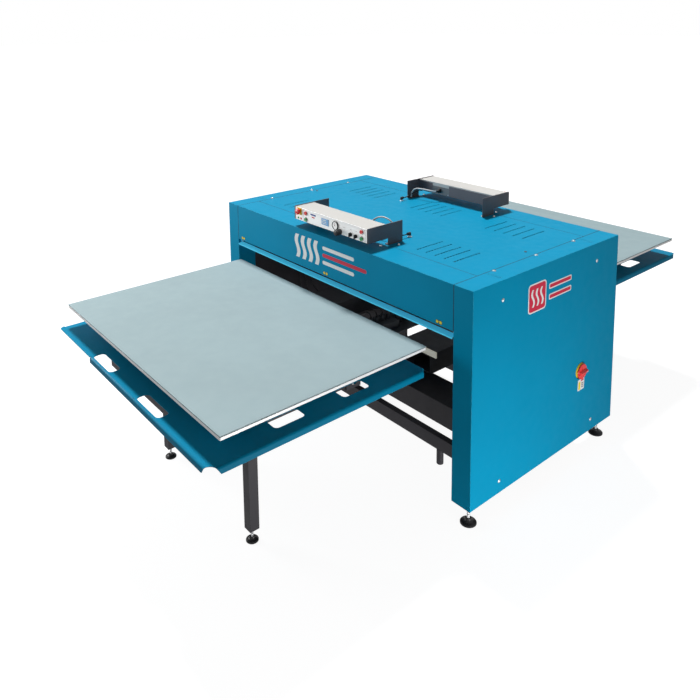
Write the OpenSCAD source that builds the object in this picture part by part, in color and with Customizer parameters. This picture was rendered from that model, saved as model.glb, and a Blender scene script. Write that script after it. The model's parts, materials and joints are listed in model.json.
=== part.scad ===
// Pneumatic shuttle heat press: a press body with a heated upper platen, and two padded tables
// that roll out of it on rails, one to the front and one to the rear.
// X runs across the machine, Y from front to rear and Z up. The origin is on the floor under the
// middle of the body. The rear table, console, hood and trip bar are the front ones turned half
// a turn about Z.

/* [Body] */
// Width over both side casings
body_w = 2083; // [2063:1:2103]
// Depth from the front hood to the rear hood
body_d = 1255; // [1245:1:1265]
// Height of the top cover above the floor
body_h = 1191; // [1189:1:1199]
// Width of each side casing
casing_w = 112; // [108:1:116]
// Height of the casings' lower edge above the floor
casing_z = 110; // [104:1:116]
// Sheet thickness of the casings, hoods and cover
sheet = 3; // [2:0.5:4]
// Height of the hoods' lower edge
hood_z = 965; // [962:1:970]
// Distance of each cover seam from the middle
seam_y = 460; // [440:1:480]

/* [Tables] */
// Width of a table and of the platen
table_w = 1626; // [1606:1:1636]
// Depth of a table and of the platen
table_d = 1118; // [1108:1:1124]
// Height of the pad's working surface
table_h = 868; // [866:1:872]
// Distance of an open table's middle from the middle of the body
table_out = 1244; // [1240:1:1250]
// Thickness of the silicone pad
pad_t = 5.5; // [4:0.5:6.5]
// Thickness of the aluminium table plate
plate_t = 12; // [10:0.5:13]
// Height of the tray's upper surface
tray_z = 748; // [744:1:752]

/* [Platen] */
// Gap between the raised platen and the pad
platen_gap = 62; // [61:1:64]
// Thickness of the heated casting
platen_t = 25; // [22:1:27]
// Height of the underside of the upper beams
beam_z = 1085; // [1083:1:1090]

/* [Rails] */
// Height of the rail tops
rail_z = 615; // [612:1:616]
// Distance of each rail from the middle
rail_x = 413; // [408:1:418]
// Side of the square rail and leg tube
tube_side = 50; // [46:1:52]
// Distance of the legs from the middle
leg_y = 1427; // [1400:1:1440]
// Diameter of the table wheels
wheel_d = 90; // [86:1:92]
// Diameter of the wheel shafts
shaft_d = 25; // [20:1:28]

/* [Consoles] */
// Width over a console's end plates
console_w = 640; // [630:1:660]
// Height of a console's top
console_z = 1306; // [1302:1:1312]
// Height of a console box
console_box_h = 75; // [73:1:77]

/* [Hidden] */
$fn = 48;

blue = [0.0, 0.58, 0.76];
charcoal = [0.16, 0.17, 0.2];
steel = [0.72, 0.73, 0.75];
black = [0.06, 0.06, 0.07];
cream = [0.88, 0.86, 0.76];
pad_grey = [0.68, 0.77, 0.79];

fit = 0.05;               // radial clearance of a running fit
weld_gap = 0.2;           // root gap of a weld between two members
seam_gap = 2.5;           // gap between a casing and the panels beside it
slack = 0.5;              // radial clearance of a button in its hole
half_w = body_w / 2;
half_d = body_d / 2;
inner_x = half_w - casing_w;
frame_x0 = inner_x + sheet;
frame_x1 = half_w - sheet;
post_y = 500;             // outer face of the frame posts
post_d = 50;
base_h = 80;              // height of a side frame's base rail
base_y = 606;             // half length of a side frame's base rail
beam_h = body_h - 11 - beam_z;
lower_top = 478;          // top of the big lower beams
lower_h = 118;
lower_y0 = 300;
lower_y1 = 495;
bearer_x = rail_x + 15;
bearer_half = 84;
bearer_y = 320;
bearer_plate_t = 33;
bearer_plate_half = 120;
nose_t = 8;
return_d = 127;           // depth of a casing's inner return
ledge_w = 25;             // ledge inside a casing that carries hoods and cover
foot_x = 987;
foot_y = 570;
leg_bottom = 62;
cross_y = 1675;           // outer face of an outrigger's cross tube
cross_half = 564;
axle_y = 335;             // wheel shafts from the middle of a table
axle_z = rail_z + wheel_d / 2 + 0.3;
tray_half = 815;
tray_out = 614;           // tray edge away from the body, from the table's middle
tray_in = 569;            // tray edge towards the body
tray_drop = 30;
bend = 12;                // outer radius of the tray's bent edges
corner_r = 26;            // setback of the bent edges from the tray's corners
shoe_z = rail_z + 2;
hanger_x = 535;           // inner face of the plates that carry the wheel shafts
hanger_t = 12;
platen_z = table_h + platen_gap;
insulation_t = 20;
pressure_z = platen_z + platen_t + insulation_t;
pressure_t = 10;
rib_top = beam_z - 50;
rod_r = 15;
bush_x = 700;
bush_y = 330;
bag_y = 250;
trip_y = 603;             // trip bar hinge line
trip_z = 950;
trip_ear_x = inner_x - 5;
console_front = 604;
console_back = 464;
console_wing = 346;
console_foot_y = 454;
console_base = console_z - console_box_h;
console_half = console_w / 2;
end_plate_t = 4;
row_top = 1284;           // upper row of console buttons
row_low = 1247;
estop_x = -276;
pair_x = [-212, 274];     // places of the two buttons of each pair
knob_x = 99;
selector_x = [186, 229];
switch_y = 286;
switch_z = 503;

// Box between two opposite corners.
module block(a, b) {
    translate(a) cube(b - a);
}

// Hollow tube between two opposite corners, open along one axis (0 = X, 1 = Y, 2 = Z).
module tube(a, b, axis, wall) {
    inset = [for (i = [0:2]) i == axis ? -1 : wall];
    difference() {
        block(a, b);
        block(a + inset, b - inset);
    }
}

// Cylinder along X from x0 to x1 through y and z.
module bar_x(x0, x1, y, z, r) {
    translate([x0, y, z]) rotate([0, 90, 0]) cylinder(h = x1 - x0, r = r);
}

// Cylinder along Y from y0 to y1 through x and z.
module bar_y(y0, y1, x, z, r) {
    translate([x, y1, z]) rotate([90, 0, 0]) cylinder(h = y1 - y0, r = r);
}

// Places its children twice: as drawn and mirrored left to right.
module left_right() {
    children();
    mirror([1, 0, 0]) children();
}

// Places its children twice: as drawn and turned half a turn about Z.
module front_rear() {
    children();
    rotate([0, 0, 180]) children();
}

// Places its children four times, in the four corners of the plan.
module corners() {
    for (sx = [0, 1], sy = [0, 1]) mirror([sx, 0, 0]) mirror([0, sy, 0]) children();
}

// Flat outline of a rectangle with rounded corners, from corner a to corner b.
module rounded_rect(a, b, r) {
    translate([a[0] + r, a[1]]) square([b[0] - a[0] - 2 * r, b[1] - a[1]]);
    translate([a[0], a[1] + r]) square([b[0] - a[0], b[1] - a[1] - 2 * r]);
    for (x = [a[0] + r, b[0] - r], y = [a[1] + r, b[1] - r]) translate([x, y]) circle(r);
}

// ---- frame ----

// One side frame, drawn on the right: posts, rails and web behind the casing.
module side_frame() {
    top = beam_z + beam_h;
    difference() {
        union() {
            for (s = [-1, 1]) {
                y = s > 0 ? post_y - post_d : -post_y;
                tube([frame_x0, y, casing_z + base_h], [frame_x1, y + post_d, top], 2, 6);
            }
            tube([frame_x0, -base_y, casing_z], [frame_x1, base_y, casing_z + base_h], 1, 6);
            tube([frame_x0, post_d - post_y, beam_z], [frame_x1, post_y - post_d, top], 1, 6);
            block([frame_x0, post_d - post_y, casing_z + base_h],
                [frame_x0 + 6, post_y - post_d, beam_z]);
        }
        for (s = [-1, 1])
            translate([foot_x, s * foot_y, casing_z - 1]) cylinder(h = 8, r = 8.4);
    }
}

module side_frame_left() {
    color(charcoal) mirror([1, 0, 0]) side_frame();
}

module side_frame_right() {
    color(charcoal) side_frame();
}

// Two box beams that take the platen's thrust, with small lugs for the return springs.
module upper_beams() {
    color(charcoal) front_rear() {
        tube([-frame_x0, -300, beam_z], [frame_x0, -200, beam_z + beam_h], 0, 6);
        for (s = [-1, 1]) block([s * 450 - 20, -200, 1140], [s * 450 + 20, -150, 1148]);
    }
}

// Two deep box beams between the side frames, under the bearers.
module lower_beams() {
    color(charcoal) front_rear()
        tube([-frame_x0, -lower_y1, lower_top - lower_h],
            [frame_x0, -lower_y0, lower_top], 0, 8);
}

// Bearers that hold a closed table up against the platen: box beam and top plate.
module bearers() {
    plate_y = bearer_y - nose_t;
    color([0.2, 0.21, 0.23]) left_right() {
        tube([bearer_x - bearer_half, -bearer_y, lower_top],
            [bearer_x + bearer_half, bearer_y, rail_z - bearer_plate_t], 1, 8);
        block([bearer_x - bearer_plate_half, -plate_y, rail_z - bearer_plate_t],
            [bearer_x + bearer_plate_half, plate_y, rail_z]);
    }
}

// Nylon blocks on both ends of each bearer, which lead the wheels on to it.
module bearer_noses() {
    color(cream) corners()
        block([bearer_x - bearer_plate_half, -bearer_y, rail_z - bearer_plate_t],
            [bearer_x + bearer_plate_half, nose_t - bearer_y, rail_z]);
}

// Low stretchers between the side frames, and the cross tubes at the ends of the outriggers.
module cross_tubes() {
    color(charcoal) front_rear() {
        tube([-frame_x0, -375, casing_z], [frame_x0, -335, casing_z + 72], 0, 3);
        tube([-cross_half, -cross_y, rail_z - tube_side],
            [cross_half, tube_side - cross_y, rail_z], 0, 4);
    }
}

// ---- casings, hoods and cover ----

// One side casing, drawn on the right: outer panel, front, rear and top returns.
module casing() {
    slot_w = 73;
    slot_d = 15;
    difference() {
        union() {
            block([half_w - sheet, -half_d, casing_z], [half_w, half_d, body_h]);
            block([inner_x, -half_d, body_h - sheet], [half_w, half_d, body_h]);
            for (s = [-1, 1]) {
                y = s > 0 ? half_d - sheet : -half_d;
                block([inner_x, y, casing_z], [half_w, y + sheet, body_h]);
                y0 = s > 0 ? half_d - return_d : -half_d;
                block([inner_x, y0, casing_z], [inner_x + sheet, y0 + return_d, body_h]);
            }
            block([inner_x - ledge_w, -half_d + 30, body_h - 2 * sheet],
                [inner_x + sheet, half_d - 30, body_h - sheet]);
        }
        for (s = [-1, 1]) {
            translate([inner_x + 15, s * 400 - slot_d / 2, body_h - sheet - 1])
                cube([slot_w, slot_d, sheet + 2]);
            bar_x(inner_x - 1, inner_x + sheet + 1, s * trip_y, trip_z, 4.4);
        }
    }
}

module left_casing() {
    color(blue) mirror([1, 0, 0]) casing();
}

module right_casing() {
    color(blue) casing();
}

// Front hood: upright panel with a lower return, and a strip of the top.
module hood() {
    x = inner_x - seam_gap;
    color(blue) {
        block([-x, -half_d, hood_z], [x, sheet - half_d, body_h]);
        block([-x, -half_d, hood_z], [x, 30 - half_d, hood_z + sheet]);
        block([-x, -half_d, body_h - sheet], [x, -seam_y - 1, body_h]);
    }
}

module front_hood() {
    hood();
}

module rear_hood() {
    rotate([0, 0, 180]) hood();
}

// Top cover between the hoods, with six groups of louvre slots.
module top_cover() {
    x = inner_x - seam_gap;
    slot_l = 15;
    slot_w = 8;
    color(blue) translate([0, 0, body_h - sheet]) linear_extrude(sheet) difference() {
        translate([-x, -seam_y]) square([2 * x, 2 * seam_y]);
        for (gx = [-600, 0, 600], gy = [-285, 285], row = [-2:2], dash = [0:9])
            translate([gx + row * 63.5 - slot_w / 2, gy - 100 + dash * 21 - slot_l / 2])
                square([slot_w, slot_l]);
    }
}

// Screws in the casings and cover, and the shoulder screws on which the trip bars hang.
module casing_screws() {
    color(steel) corners() {
        for (z = [173, 1093])
            bar_x(half_w, half_w + 2.5, -410, z, 6);
        for (y = [-345, 0])
            translate([inner_x + 8, y, body_h]) cylinder(h = 2.5, r = 5);
        bar_x(trip_ear_x - 8, inner_x + sheet + 4, -trip_y, trip_z, 4);
        bar_x(trip_ear_x - 11, trip_ear_x - 8, -trip_y, trip_z, 6.5);
        bar_x(inner_x - 3, inner_x, -trip_y, trip_z, 8);
    }
}

// ---- feet ----

// Foot disc, with a dome on a flat base.
module pad_shape(r, h) {
    rotate_extrude() {
        square([r, h * 0.35]);
        translate([0, h * 0.35]) polygon([[0, 0], [r, 0], [r * 0.72, h * 0.4],
            [r * 0.4, h * 0.65], [0, h * 0.65]]);
    }
}

module foot_pads() {
    color(black) corners() {
        translate([foot_x, -foot_y, 0]) pad_shape(40, 28);
        translate([rail_x, -leg_y, 0]) pad_shape(30, 22);
    }
}

// Threaded studs of the levelling feet, with their lock nuts.
module foot_studs() {
    color(steel) corners() {
        translate([foot_x, -foot_y, 28]) {
            cylinder(h = 122, r = 8);
            translate([0, 0, casing_z - 28 - 13]) cylinder(h = 13, r = 14, $fn = 6);
        }
        translate([rail_x, -leg_y, 22]) {
            cylinder(h = 80, r = 6);
            translate([0, 0, leg_bottom - 22 - 9]) cylinder(h = 9, r = 10.5, $fn = 6);
        }
    }
}

// ---- rails and outriggers ----

module rails() {
    color(charcoal) corners()
        tube([rail_x - tube_side / 2, tube_side - cross_y, rail_z - tube_side],
            [rail_x + tube_side / 2, -bearer_y - 1, rail_z], 1, 4);
}

// Legs of the outriggers, the short posts that carry the rails' inner ends, and the round
// stubs under the low stretchers.
module legs() {
    half = tube_side / 2;
    color(charcoal) corners() {
        translate([615, -355, 22]) cylinder(h = casing_z - 22, r = 12.5);
        difference() {
            block([rail_x - half, -leg_y - half, leg_bottom],
                [rail_x + half, half - leg_y, rail_z - tube_side]);
            block([rail_x - half + 4, -leg_y - half + 4, leg_bottom + 12],
                [rail_x + half - 4, half - leg_y - 4, rail_z - tube_side + 1]);
            translate([rail_x, -leg_y, leg_bottom - 1]) cylinder(h = 14, r = 6.4);
        }
        tube([rail_x - half, -425, lower_top], [rail_x + half, -375, rail_z - tube_side], 2, 4);
    }
}

// Rubber end stops on the outer cross tubes, against which the wheel shafts come to rest.
module stop_bumpers() {
    stop = table_out + axle_y + shaft_d / 2 + 2;
    color(black) front_rear()
        block([-60, -cross_y, rail_z], [60, -stop, axle_z + 20]);
}

// ---- shuttle tables, drawn around the middle of the table ----

module at_front() {
    translate([0, -table_out, 0]) children();
}

module at_rear() {
    rotate([0, 0, 180]) at_front() children();
}

module table_plate() {
    color([0.9, 0.9, 0.9])
        translate([0, 0, table_h - pad_t - plate_t]) linear_extrude(plate_t)
            rounded_rect([-table_w / 2, -table_d / 2], [table_w / 2, table_d / 2], 4);
}

module table_pad() {
    color(pad_grey) translate([0, 0, table_h - pad_t]) linear_extrude(pad_t)
        rounded_rect([-table_w / 2, -table_d / 2], [table_w / 2, table_d / 2], 4);
}

// Ladder frame between plate and tray, with pressure shoes and shaft hangers under the tray.
module carriage() {
    top = table_h - pad_t - plate_t;
    mid = tray_z + 50;
    under = tray_z - sheet;
    color(charcoal) {
        left_right() {
            tube([rail_x - 60, -430, tray_z], [rail_x + 60, 430, mid], 1, 5);
            tube([hanger_x - 19, -430, tray_z], [hanger_x + 31, 430, mid], 1, 4);
            tube([rail_x - 90, -280, shoe_z], [rail_x + 90, 280, under], 1, 8);
        }
        for (y = [-axle_y, 0, axle_y])
            tube([-640, y - 25, mid + weld_gap], [640, y + 25, top], 0, 4);
        corners() difference() {
            block([hanger_x, -axle_y - 45, axle_z - 32],
                [hanger_x + hanger_t, 45 - axle_y, under]);
            bar_x(hanger_x - 1, hanger_x + hanger_t + 1, -axle_y, axle_z, shaft_d / 2 + fit);
        }
    }
}

// Profile of a bent tray edge: a quarter bend and a short drop, in a plane across the edge.
module edge_profile() {
    intersection() {
        difference() {
            circle(bend);
            circle(bend - sheet);
        }
        square(bend);
    }
    translate([bend - sheet, bend - tray_drop]) square([sheet, tray_drop - bend]);
}

// One bent edge of the given length, running along X with its outside towards -Y.
module tray_edge(length) {
    translate([length / 2, bend, tray_z - bend]) rotate([90, 0, -90])
        linear_extrude(length) edge_profile();
}

// Sheet tray under a table, with bent edges, hand holes and a round relief at one corner. The
// bent edge at the outer end starts beside the first hand hole and is slit beside the second.
module tray() {
    mid_y = (tray_in - tray_out) / 2;
    side_x = tray_half - corner_r;
    long_y = tray_out + tray_in - 2 * corner_r;
    color(blue) difference() {
        union() {
            translate([0, 0, tray_z - sheet]) linear_extrude(sheet) difference() {
                union() {
                    rounded_rect([bend - tray_half, bend - tray_out],
                        [tray_half - bend, tray_in - bend], 14);
                    translate([-side_x, -tray_out]) square([side_x - 370, corner_r]);
                    translate([-side_x, corner_r - tray_out]) intersection() {
                        circle(corner_r);
                        translate([-corner_r, -corner_r]) square(corner_r);
                    }
                }
                for (s = [-1, 1])
                    rounded_rect([s * 255 - 107, -tray_out + 14],
                        [s * 255 + 107, -tray_out + 72], 20);
                for (s = [-1, 1], y = [-184, 184])
                    rounded_rect([s * 710 - 37, y - 78], [s * 710 + 37, y + 78], 20);
            }
            translate([(side_x - 370) / 2, -tray_out, 0]) tray_edge(side_x + 370);
            translate([0, tray_in, 0]) rotate([0, 0, 180]) tray_edge(2 * side_x);
            for (s = [-1, 1]) translate([s * tray_half, mid_y, 0]) rotate([0, 0, s * 90])
                tray_edge(long_y);
        }
        translate([tray_half, -tray_out, tray_z - 40]) cylinder(h = 50, r1 = 62, r2 = 30);
        block([139.5, -tray_out - 1, tray_z - 40], [142.5, bend - 1 - tray_out, tray_z + 1]);
    }
}

// Two wheels on one live shaft, on the line y from the middle of the table.
module wheelset(y) {
    color(steel) {
        bar_x(-hanger_x - 21, hanger_x + 21, y, axle_z, shaft_d / 2);
        for (s = [-1, 1]) {
            bar_x(s * rail_x - 17, s * rail_x + 17, y, axle_z, wheel_d / 2);
            bar_x(s * rail_x - 30, s * rail_x + 30, y, axle_z, 22);
            bar_x(s * (hanger_x - 7) - 5, s * (hanger_x - 7) + 5, y, axle_z, 19);
        }
    }
}

module front_table_plate() {
    at_front() table_plate();
}

module front_pad() {
    at_front() table_pad();
}

module front_carriage() {
    at_front() carriage();
}

module front_tray() {
    at_front() tray();
}

module front_outer_wheelset() {
    at_front() wheelset(-axle_y);
}

module front_inner_wheelset() {
    at_front() wheelset(axle_y);
}

module rear_table_plate() {
    at_rear() table_plate();
}

module rear_pad() {
    at_rear() table_pad();
}

module rear_carriage() {
    at_rear() carriage();
}

module rear_tray() {
    at_rear() tray();
}

module rear_outer_wheelset() {
    at_rear() wheelset(-axle_y);
}

module rear_inner_wheelset() {
    at_rear() wheelset(axle_y);
}

// ---- platen and its drive ----

module heat_platen() {
    color([0.75, 0.76, 0.78]) translate([0, 0, platen_z]) linear_extrude(platen_t)
        rounded_rect([-table_w / 2, -table_d / 2], [table_w / 2, table_d / 2], 8);
}

// Ceramic terminals of the tubular heaters cast into the platen.
module heater_terminals() {
    z = platen_z + platen_t / 2;
    color(cream) left_right() for (y = [-480:120:480]) {
        bar_x(table_w / 2, table_w / 2 + 22, y, z, 5);
        bar_x(table_w / 2 + 22, table_w / 2 + 36, y, z, 2.5);
    }
}

module insulation_board() {
    z = platen_z + platen_t;
    color([0.83, 0.8, 0.7]) block([13 - table_w / 2, 14 - table_d / 2, z],
        [table_w / 2 - 13, table_d / 2 - 14, z + insulation_t]);
}

// Steel pressure plate with two wide ribs under the air bags and five cross ribs.
module pressure_plate() {
    top = pressure_z + pressure_t;
    color(charcoal) {
        block([13 - table_w / 2, 14 - table_d / 2, pressure_z],
            [table_w / 2 - 13, table_d / 2 - 14, top]);
        for (s = [-1, 1]) tube([-780, s * bag_y - 40, top], [780, s * bag_y + 40, rib_top], 0, 6);
        for (x = [-520:260:520]) block([x - 15, -bag_y, top], [x + 15, bag_y, rib_top - 10]);
    }
}

module guide_rods() {
    top = pressure_z + pressure_t;
    color(steel) corners()
        translate([bush_x, -bush_y, top]) cylinder(h = body_h - 8 - top, r = rod_r);
}

// Bronze-lined blocks on the upper beams, in which the guide rods run.
module guide_bushes() {
    color([0.75, 0.6, 0.3]) corners() difference() {
        block([bush_x - 32, -bush_y - 32, 1095], [bush_x + 32, -300, 1165]);
        translate([bush_x, -bush_y, 1094]) cylinder(h = 72, r = rod_r + fit);
    }
}

// Six two-lobed air bags between the beams and the pressure plate.
module air_bags() {
    color(black) for (x = [-600, 0, 600], y = [-bag_y, bag_y])
        translate([x, y, rib_top]) rotate_extrude() {
            square([72, beam_z - rib_top]);
            for (z = [14, 36]) translate([72, z]) circle(12);
        }
}

spring_turns = 9;
spring_steps = 8;
spring_sides = 5;
spring_r = 12;
spring_wire = 2;
spring_h = 1138 - pressure_z - pressure_t - 2;

// Rings of points along one coil spring.
function spring_points() = [
    for (i = [0:spring_turns * spring_steps], j = [0:spring_sides - 1])
        let (turn = 360 * i / spring_steps, side = 360 * j / spring_sides,
            r = spring_r + spring_wire * cos(side))
            [r * cos(turn), r * sin(turn), spring_wire * (1 + sin(side))
                + (spring_h - 2 * spring_wire) * i / (spring_turns * spring_steps)]
];

// Triangles between neighbouring rings of a swept tube, with flat ends.
function swept_faces(rings, sides) = concat(
    [[for (j = [0:sides - 1]) j]],
    [[for (j = [sides - 1:-1:0]) (rings - 1) * sides + j]],
    [for (i = [0:rings - 2], j = [0:sides - 1])
        let (a = i * sides + j, b = i * sides + (j + 1) % sides) [a, a + sides, b]],
    [for (i = [0:rings - 2], j = [0:sides - 1])
        let (a = i * sides + j, b = i * sides + (j + 1) % sides) [b, a + sides, b + sides]]
);

// Return springs that lift the platen when the air is let out.
module return_springs() {
    color(steel) corners() translate([450, -172, pressure_z + pressure_t + 2])
        polyhedron(spring_points(),
            swept_faces(spring_turns * spring_steps + 1, spring_sides), convexity = 4);
}

// ---- trip bars ----

// Hinged safety strip along the lower edge of the front hood.
module trip_bar() {
    tilt = 14;
    color([0.25, 0.75, 0.88]) {
        translate([-trip_ear_x, 0, 0]) rotate([90, 0, 90]) linear_extrude(2 * trip_ear_x)
            translate([-trip_y, trip_z - 10]) rotate(180 + tilt) {
                translate([-1, -2.5]) square([31, 2.5]);
                translate([28, -2.5]) square([2, 9]);
            }
        left_right() difference() {
            union() {
                bar_x(trip_ear_x - 3, trip_ear_x, -trip_y, trip_z, 9);
                block([trip_ear_x - 3, -trip_y - 8, trip_z - 11],
                    [trip_ear_x, 6 - trip_y, trip_z]);
            }
            bar_x(trip_ear_x - 4, trip_ear_x + 1, -trip_y, trip_z, 4 + fit);
        }
    }
}

module front_trip_bar() {
    trip_bar();
}

module rear_trip_bar() {
    rotate([0, 0, 180]) trip_bar();
}

// ---- inside the body ----

// Shelf across the lower beams with the valve block and the two bowls of the filter regulator.
module pneumatic_unit() {
    shelf = lower_top - 58;
    color([0.3, 0.32, 0.36]) {
        block([-300, -lower_y0, shelf - 5], [-60, lower_y0, shelf]);
        block([-250, -150, shelf], [-110, 60, shelf + 50]);
        for (y = [-125:50:25]) translate([-180, y, shelf + 50]) cylinder(h = 35, r = 14);
        for (y = [120, 190]) translate([-180, y, shelf]) cylinder(h = 90, r = 26);
        block([-195, 120, shelf + 60], [-165, 190, shelf + 85]);
    }
}

// Control box on the right side frame, under the bearers.
module electrical_box() {
    color(steel) {
        block([690, -150, 195], [frame_x0, 150, 350]);
        block([700, -156, 205], [920, -150, 340]);
    }
}

// Brass bulkhead for the compressed air, on the left casing.
module air_inlet() {
    color([0.8, 0.65, 0.3]) difference() {
        union() {
            translate([-half_w - 10, 300, 400]) rotate([0, 90, 0])
                cylinder(h = 10, r = 16, $fn = 6);
            bar_x(-half_w - 30, -half_w - 10, 300, 400, 11);
        }
        bar_x(-half_w - 31, -half_w - 5, 300, 400, 5.9);
    }
}

// Nylon gland for the supply cable, on the left casing.
module cable_gland() {
    color(black) difference() {
        union() {
            translate([-half_w - 12, 200, 400]) rotate([0, 90, 0])
                cylinder(h = 12, r = 18, $fn = 6);
            bar_x(-half_w - 30, -half_w - 12, 200, 400, 13);
        }
        bar_x(-half_w - 31, -half_w - 2, 200, 400, 7);
    }
}

// Yellow plate of the main switch with its bearing for the handle.
module main_switch_plate() {
    color([0.95, 0.8, 0.1]) difference() {
        union() {
            bar_x(half_w, half_w + 4, switch_y, switch_z, 48);
            bar_x(half_w + 4, half_w + 9, switch_y, switch_z, 24);
        }
        bar_x(half_w + 1, half_w + 10, switch_y, switch_z, 8 + fit);
    }
}

module main_switch_knob() {
    x = half_w + 9.5;
    color([0.8, 0.08, 0.06]) {
        bar_x(half_w + 1.5, x, switch_y, switch_z, 8);
        bar_x(x, x + 6, switch_y, switch_z, 42);
        block([x + 6, switch_y - 38, switch_z - 9], [x + 20, switch_y + 38, switch_z + 9]);
    }
}

// ---- consoles, drawn at the front ----

// Folded box: top, back and bottom behind the fascia.
module console_boxes() {
    x = console_half - end_plate_t;
    y0 = 3 - console_front;
    color([0.76, 0.75, 0.72]) front_rear() difference() {
        block([-x, y0, console_base], [x, -console_back, console_z]);
        block([2 - x, y0 - 1, console_base + 2], [x - 2, -console_back - 2, console_z - 2]);
    }
}

// End plates, a little proud of the box, with the wings and feet that stand on the top cover,
// and the back web between them, open round the lead's socket.
module console_plates() {
    front = console_front + 3;
    top = console_z + 4;
    low = console_base - 3;
    web_x = console_half - end_plate_t - weld_gap;
    color(charcoal) front_rear() {
        block([-web_x, -console_back, console_base], [51, 2 - console_back, console_z - 7]);
        block([196, -console_back, console_base], [web_x, 2 - console_back, console_z - 7]);
    }
    color(charcoal) front_rear() left_right() {
        translate([console_half - end_plate_t, 0, 0]) rotate([90, 0, 90])
            linear_extrude(end_plate_t) polygon([[5 - front, low],
                [-console_foot_y, low], [-console_foot_y, body_h],
                [-console_wing, body_h], [-console_wing, top],
                [5 - front, top], [-front, top - 5], [-front, low + 5]]);
        block([console_half - 26, -console_foot_y, body_h],
            [console_half - end_plate_t, -386, body_h + 3]);
        for (y = [-438, -402]) translate([console_half - 15, y, body_h + 3])
            cylinder(h = 5, r = 6, $fn = 6);
    }
}

// Hole through a fascia, for a control at x and z.
module fascia_hole(x, z, r) {
    bar_y(-console_front - 1, 4 - console_front, x, z, r);
}

// Fascia plate of one console, before its holes.
module fascia_plate() {
    x = console_half - end_plate_t;
    block([-x, -console_front, console_base], [x, 3 - console_front, console_z]);
}

// Holes for the controls that both consoles have.
module shared_holes() {
    fascia_hole(estop_x, row_top, 11 + slack);
    for (x = pair_x, z = [row_top, row_low]) fascia_hole(x, z, 8 + slack);
}

module console_fascias() {
    color([0.94, 0.94, 0.93]) {
        difference() {
            fascia_plate();
            shared_holes();
            fascia_hole(knob_x, row_low - 1, 6 + fit);
            for (x = selector_x) fascia_hole(x, row_low + 3, 5 + fit);
        }
        rotate([0, 0, 180]) difference() {
            fascia_plate();
            shared_holes();
        }
    }
}

// Display on both fascias, and the pressure gauge on the front one.
module console_instruments() {
    color([0.3, 0.55, 0.85]) {
        front_rear() block([-68, -console_front - 3, row_low + 4],
            [2, -console_front, row_top + 6]);
        bar_y(-console_front - 8, -console_front, 57, 1272, 25);
    }
}

cable_r = 4.5;
cable_sides = 12;
cable_steps = 16;
plug_x = 132;
plug_z = 1256;
grommet = [302, -366];

// Point at share t of a cubic Bezier curve with the four control points p.
function bezier(p, t) = pow(1 - t, 3) * p[0] + 3 * t * pow(1 - t, 2) * p[1]
    + 3 * t * t * (1 - t) * p[2] + pow(t, 3) * p[3];

// Route of a cable from the plug on a console's back panel, over a crest, to its grommet.
function cable_route(crest) =
    let (start = [plug_x, -450, plug_z], top = [222, -396, crest],
        end = [grommet[0], grommet[1], body_h + 3],
        rise = [start, start + [0, 42, 0], top - [62, 8, 0], top],
        fall = [top, top + [62, 8, 0], end + [0, 0, 70], end])
    concat([for (i = [0:cable_steps]) bezier(rise, i / cable_steps)],
        [for (i = [1:cable_steps]) bezier(fall, i / cable_steps)]);

function unit(v) = v / norm(v);

// Direction of the route p at its point i.
function heading(p, i) = unit(p[min(i + 1, len(p) - 1)] - p[max(i - 1, 0)]);

// Rings of a tube of radius r along the points p.
function route_rings(p, r, sides) = [
    for (i = [0:len(p) - 1], j = [0:sides - 1])
        let (t = heading(p, i), u = unit(cross(t, [-1, 1, 1])), v = cross(t, u),
            a = 360 * j / sides)
            p[i] + r * (cos(a) * u + sin(a) * v)
];

// Plug, cable and grommet of one console.
module harness(crest) {
    route = cable_route(crest);
    bar_y(-console_back, -449, plug_x, plug_z, 15);
    translate([grommet[0], grommet[1], body_h]) cylinder(h = 6, r = 10);
    polyhedron(route_rings(route, cable_r, cable_sides),
        swept_faces(len(route), cable_sides), convexity = 4);
}

module console_harness() {
    color([0.75, 0.76, 0.78]) {
        harness(1314);
        rotate([0, 0, 180]) harness(1262);
    }
}

// Mushroom head on a stem through the fascia.
module estop() {
    color([0.85, 0.08, 0.06]) {
        bar_y(-console_front - 8, 24 - console_front, estop_x, row_top, 11);
        bar_y(-console_front - 24, -console_front - 8, estop_x, row_top, 18);
    }
}

// Pair of round buttons, one at each end of a console, pressed with both hands.
module button_pair(z, tint) {
    color(tint) for (x = pair_x) {
        bar_y(-console_front - 4, 14 - console_front, x, z, 8);
        bar_y(-console_front - 9, -console_front - 4, x, z, 11);
    }
}

module front_estop() {
    estop();
}

module front_start_buttons() {
    button_pair(row_low, [0.1, 0.6, 0.25]);
}

module front_stop_buttons() {
    button_pair(row_top, [0.85, 0.15, 0.12]);
}

module rear_estop() {
    rotate([0, 0, 180]) estop();
}

module rear_start_buttons() {
    rotate([0, 0, 180]) button_pair(row_low, [0.1, 0.6, 0.25]);
}

module rear_stop_buttons() {
    rotate([0, 0, 180]) button_pair(row_top, [0.85, 0.15, 0.12]);
}

// Hand knob of the pressure regulator.
module pressure_knob() {
    color(black) {
        bar_y(-console_front - 2, 16 - console_front, knob_x, row_low - 1, 6);
        difference() {
            bar_y(-console_front - 40, -console_front - 2, knob_x, row_low - 1, 17);
            for (a = [0:30:330]) translate([knob_x, 0, row_low - 1]) rotate([0, a, 0])
                bar_y(-console_front - 41, -console_front - 12, 18.5, 0, 3);
        }
    }
}

// Small rotary switch with a grip bar.
module selector(x) {
    z = row_low + 3;
    color(black) {
        bar_y(-console_front - 1, 14 - console_front, x, z, 5);
        bar_y(-console_front - 9, -console_front - 1, x, z, 11);
        block([x - 3.5, -console_front - 19, z - 11], [x + 3.5, -console_front - 9, z + 11]);
    }
}

module left_selector() {
    selector(selector_x[0]);
}

module right_selector() {
    selector(selector_x[1]);
}

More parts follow.
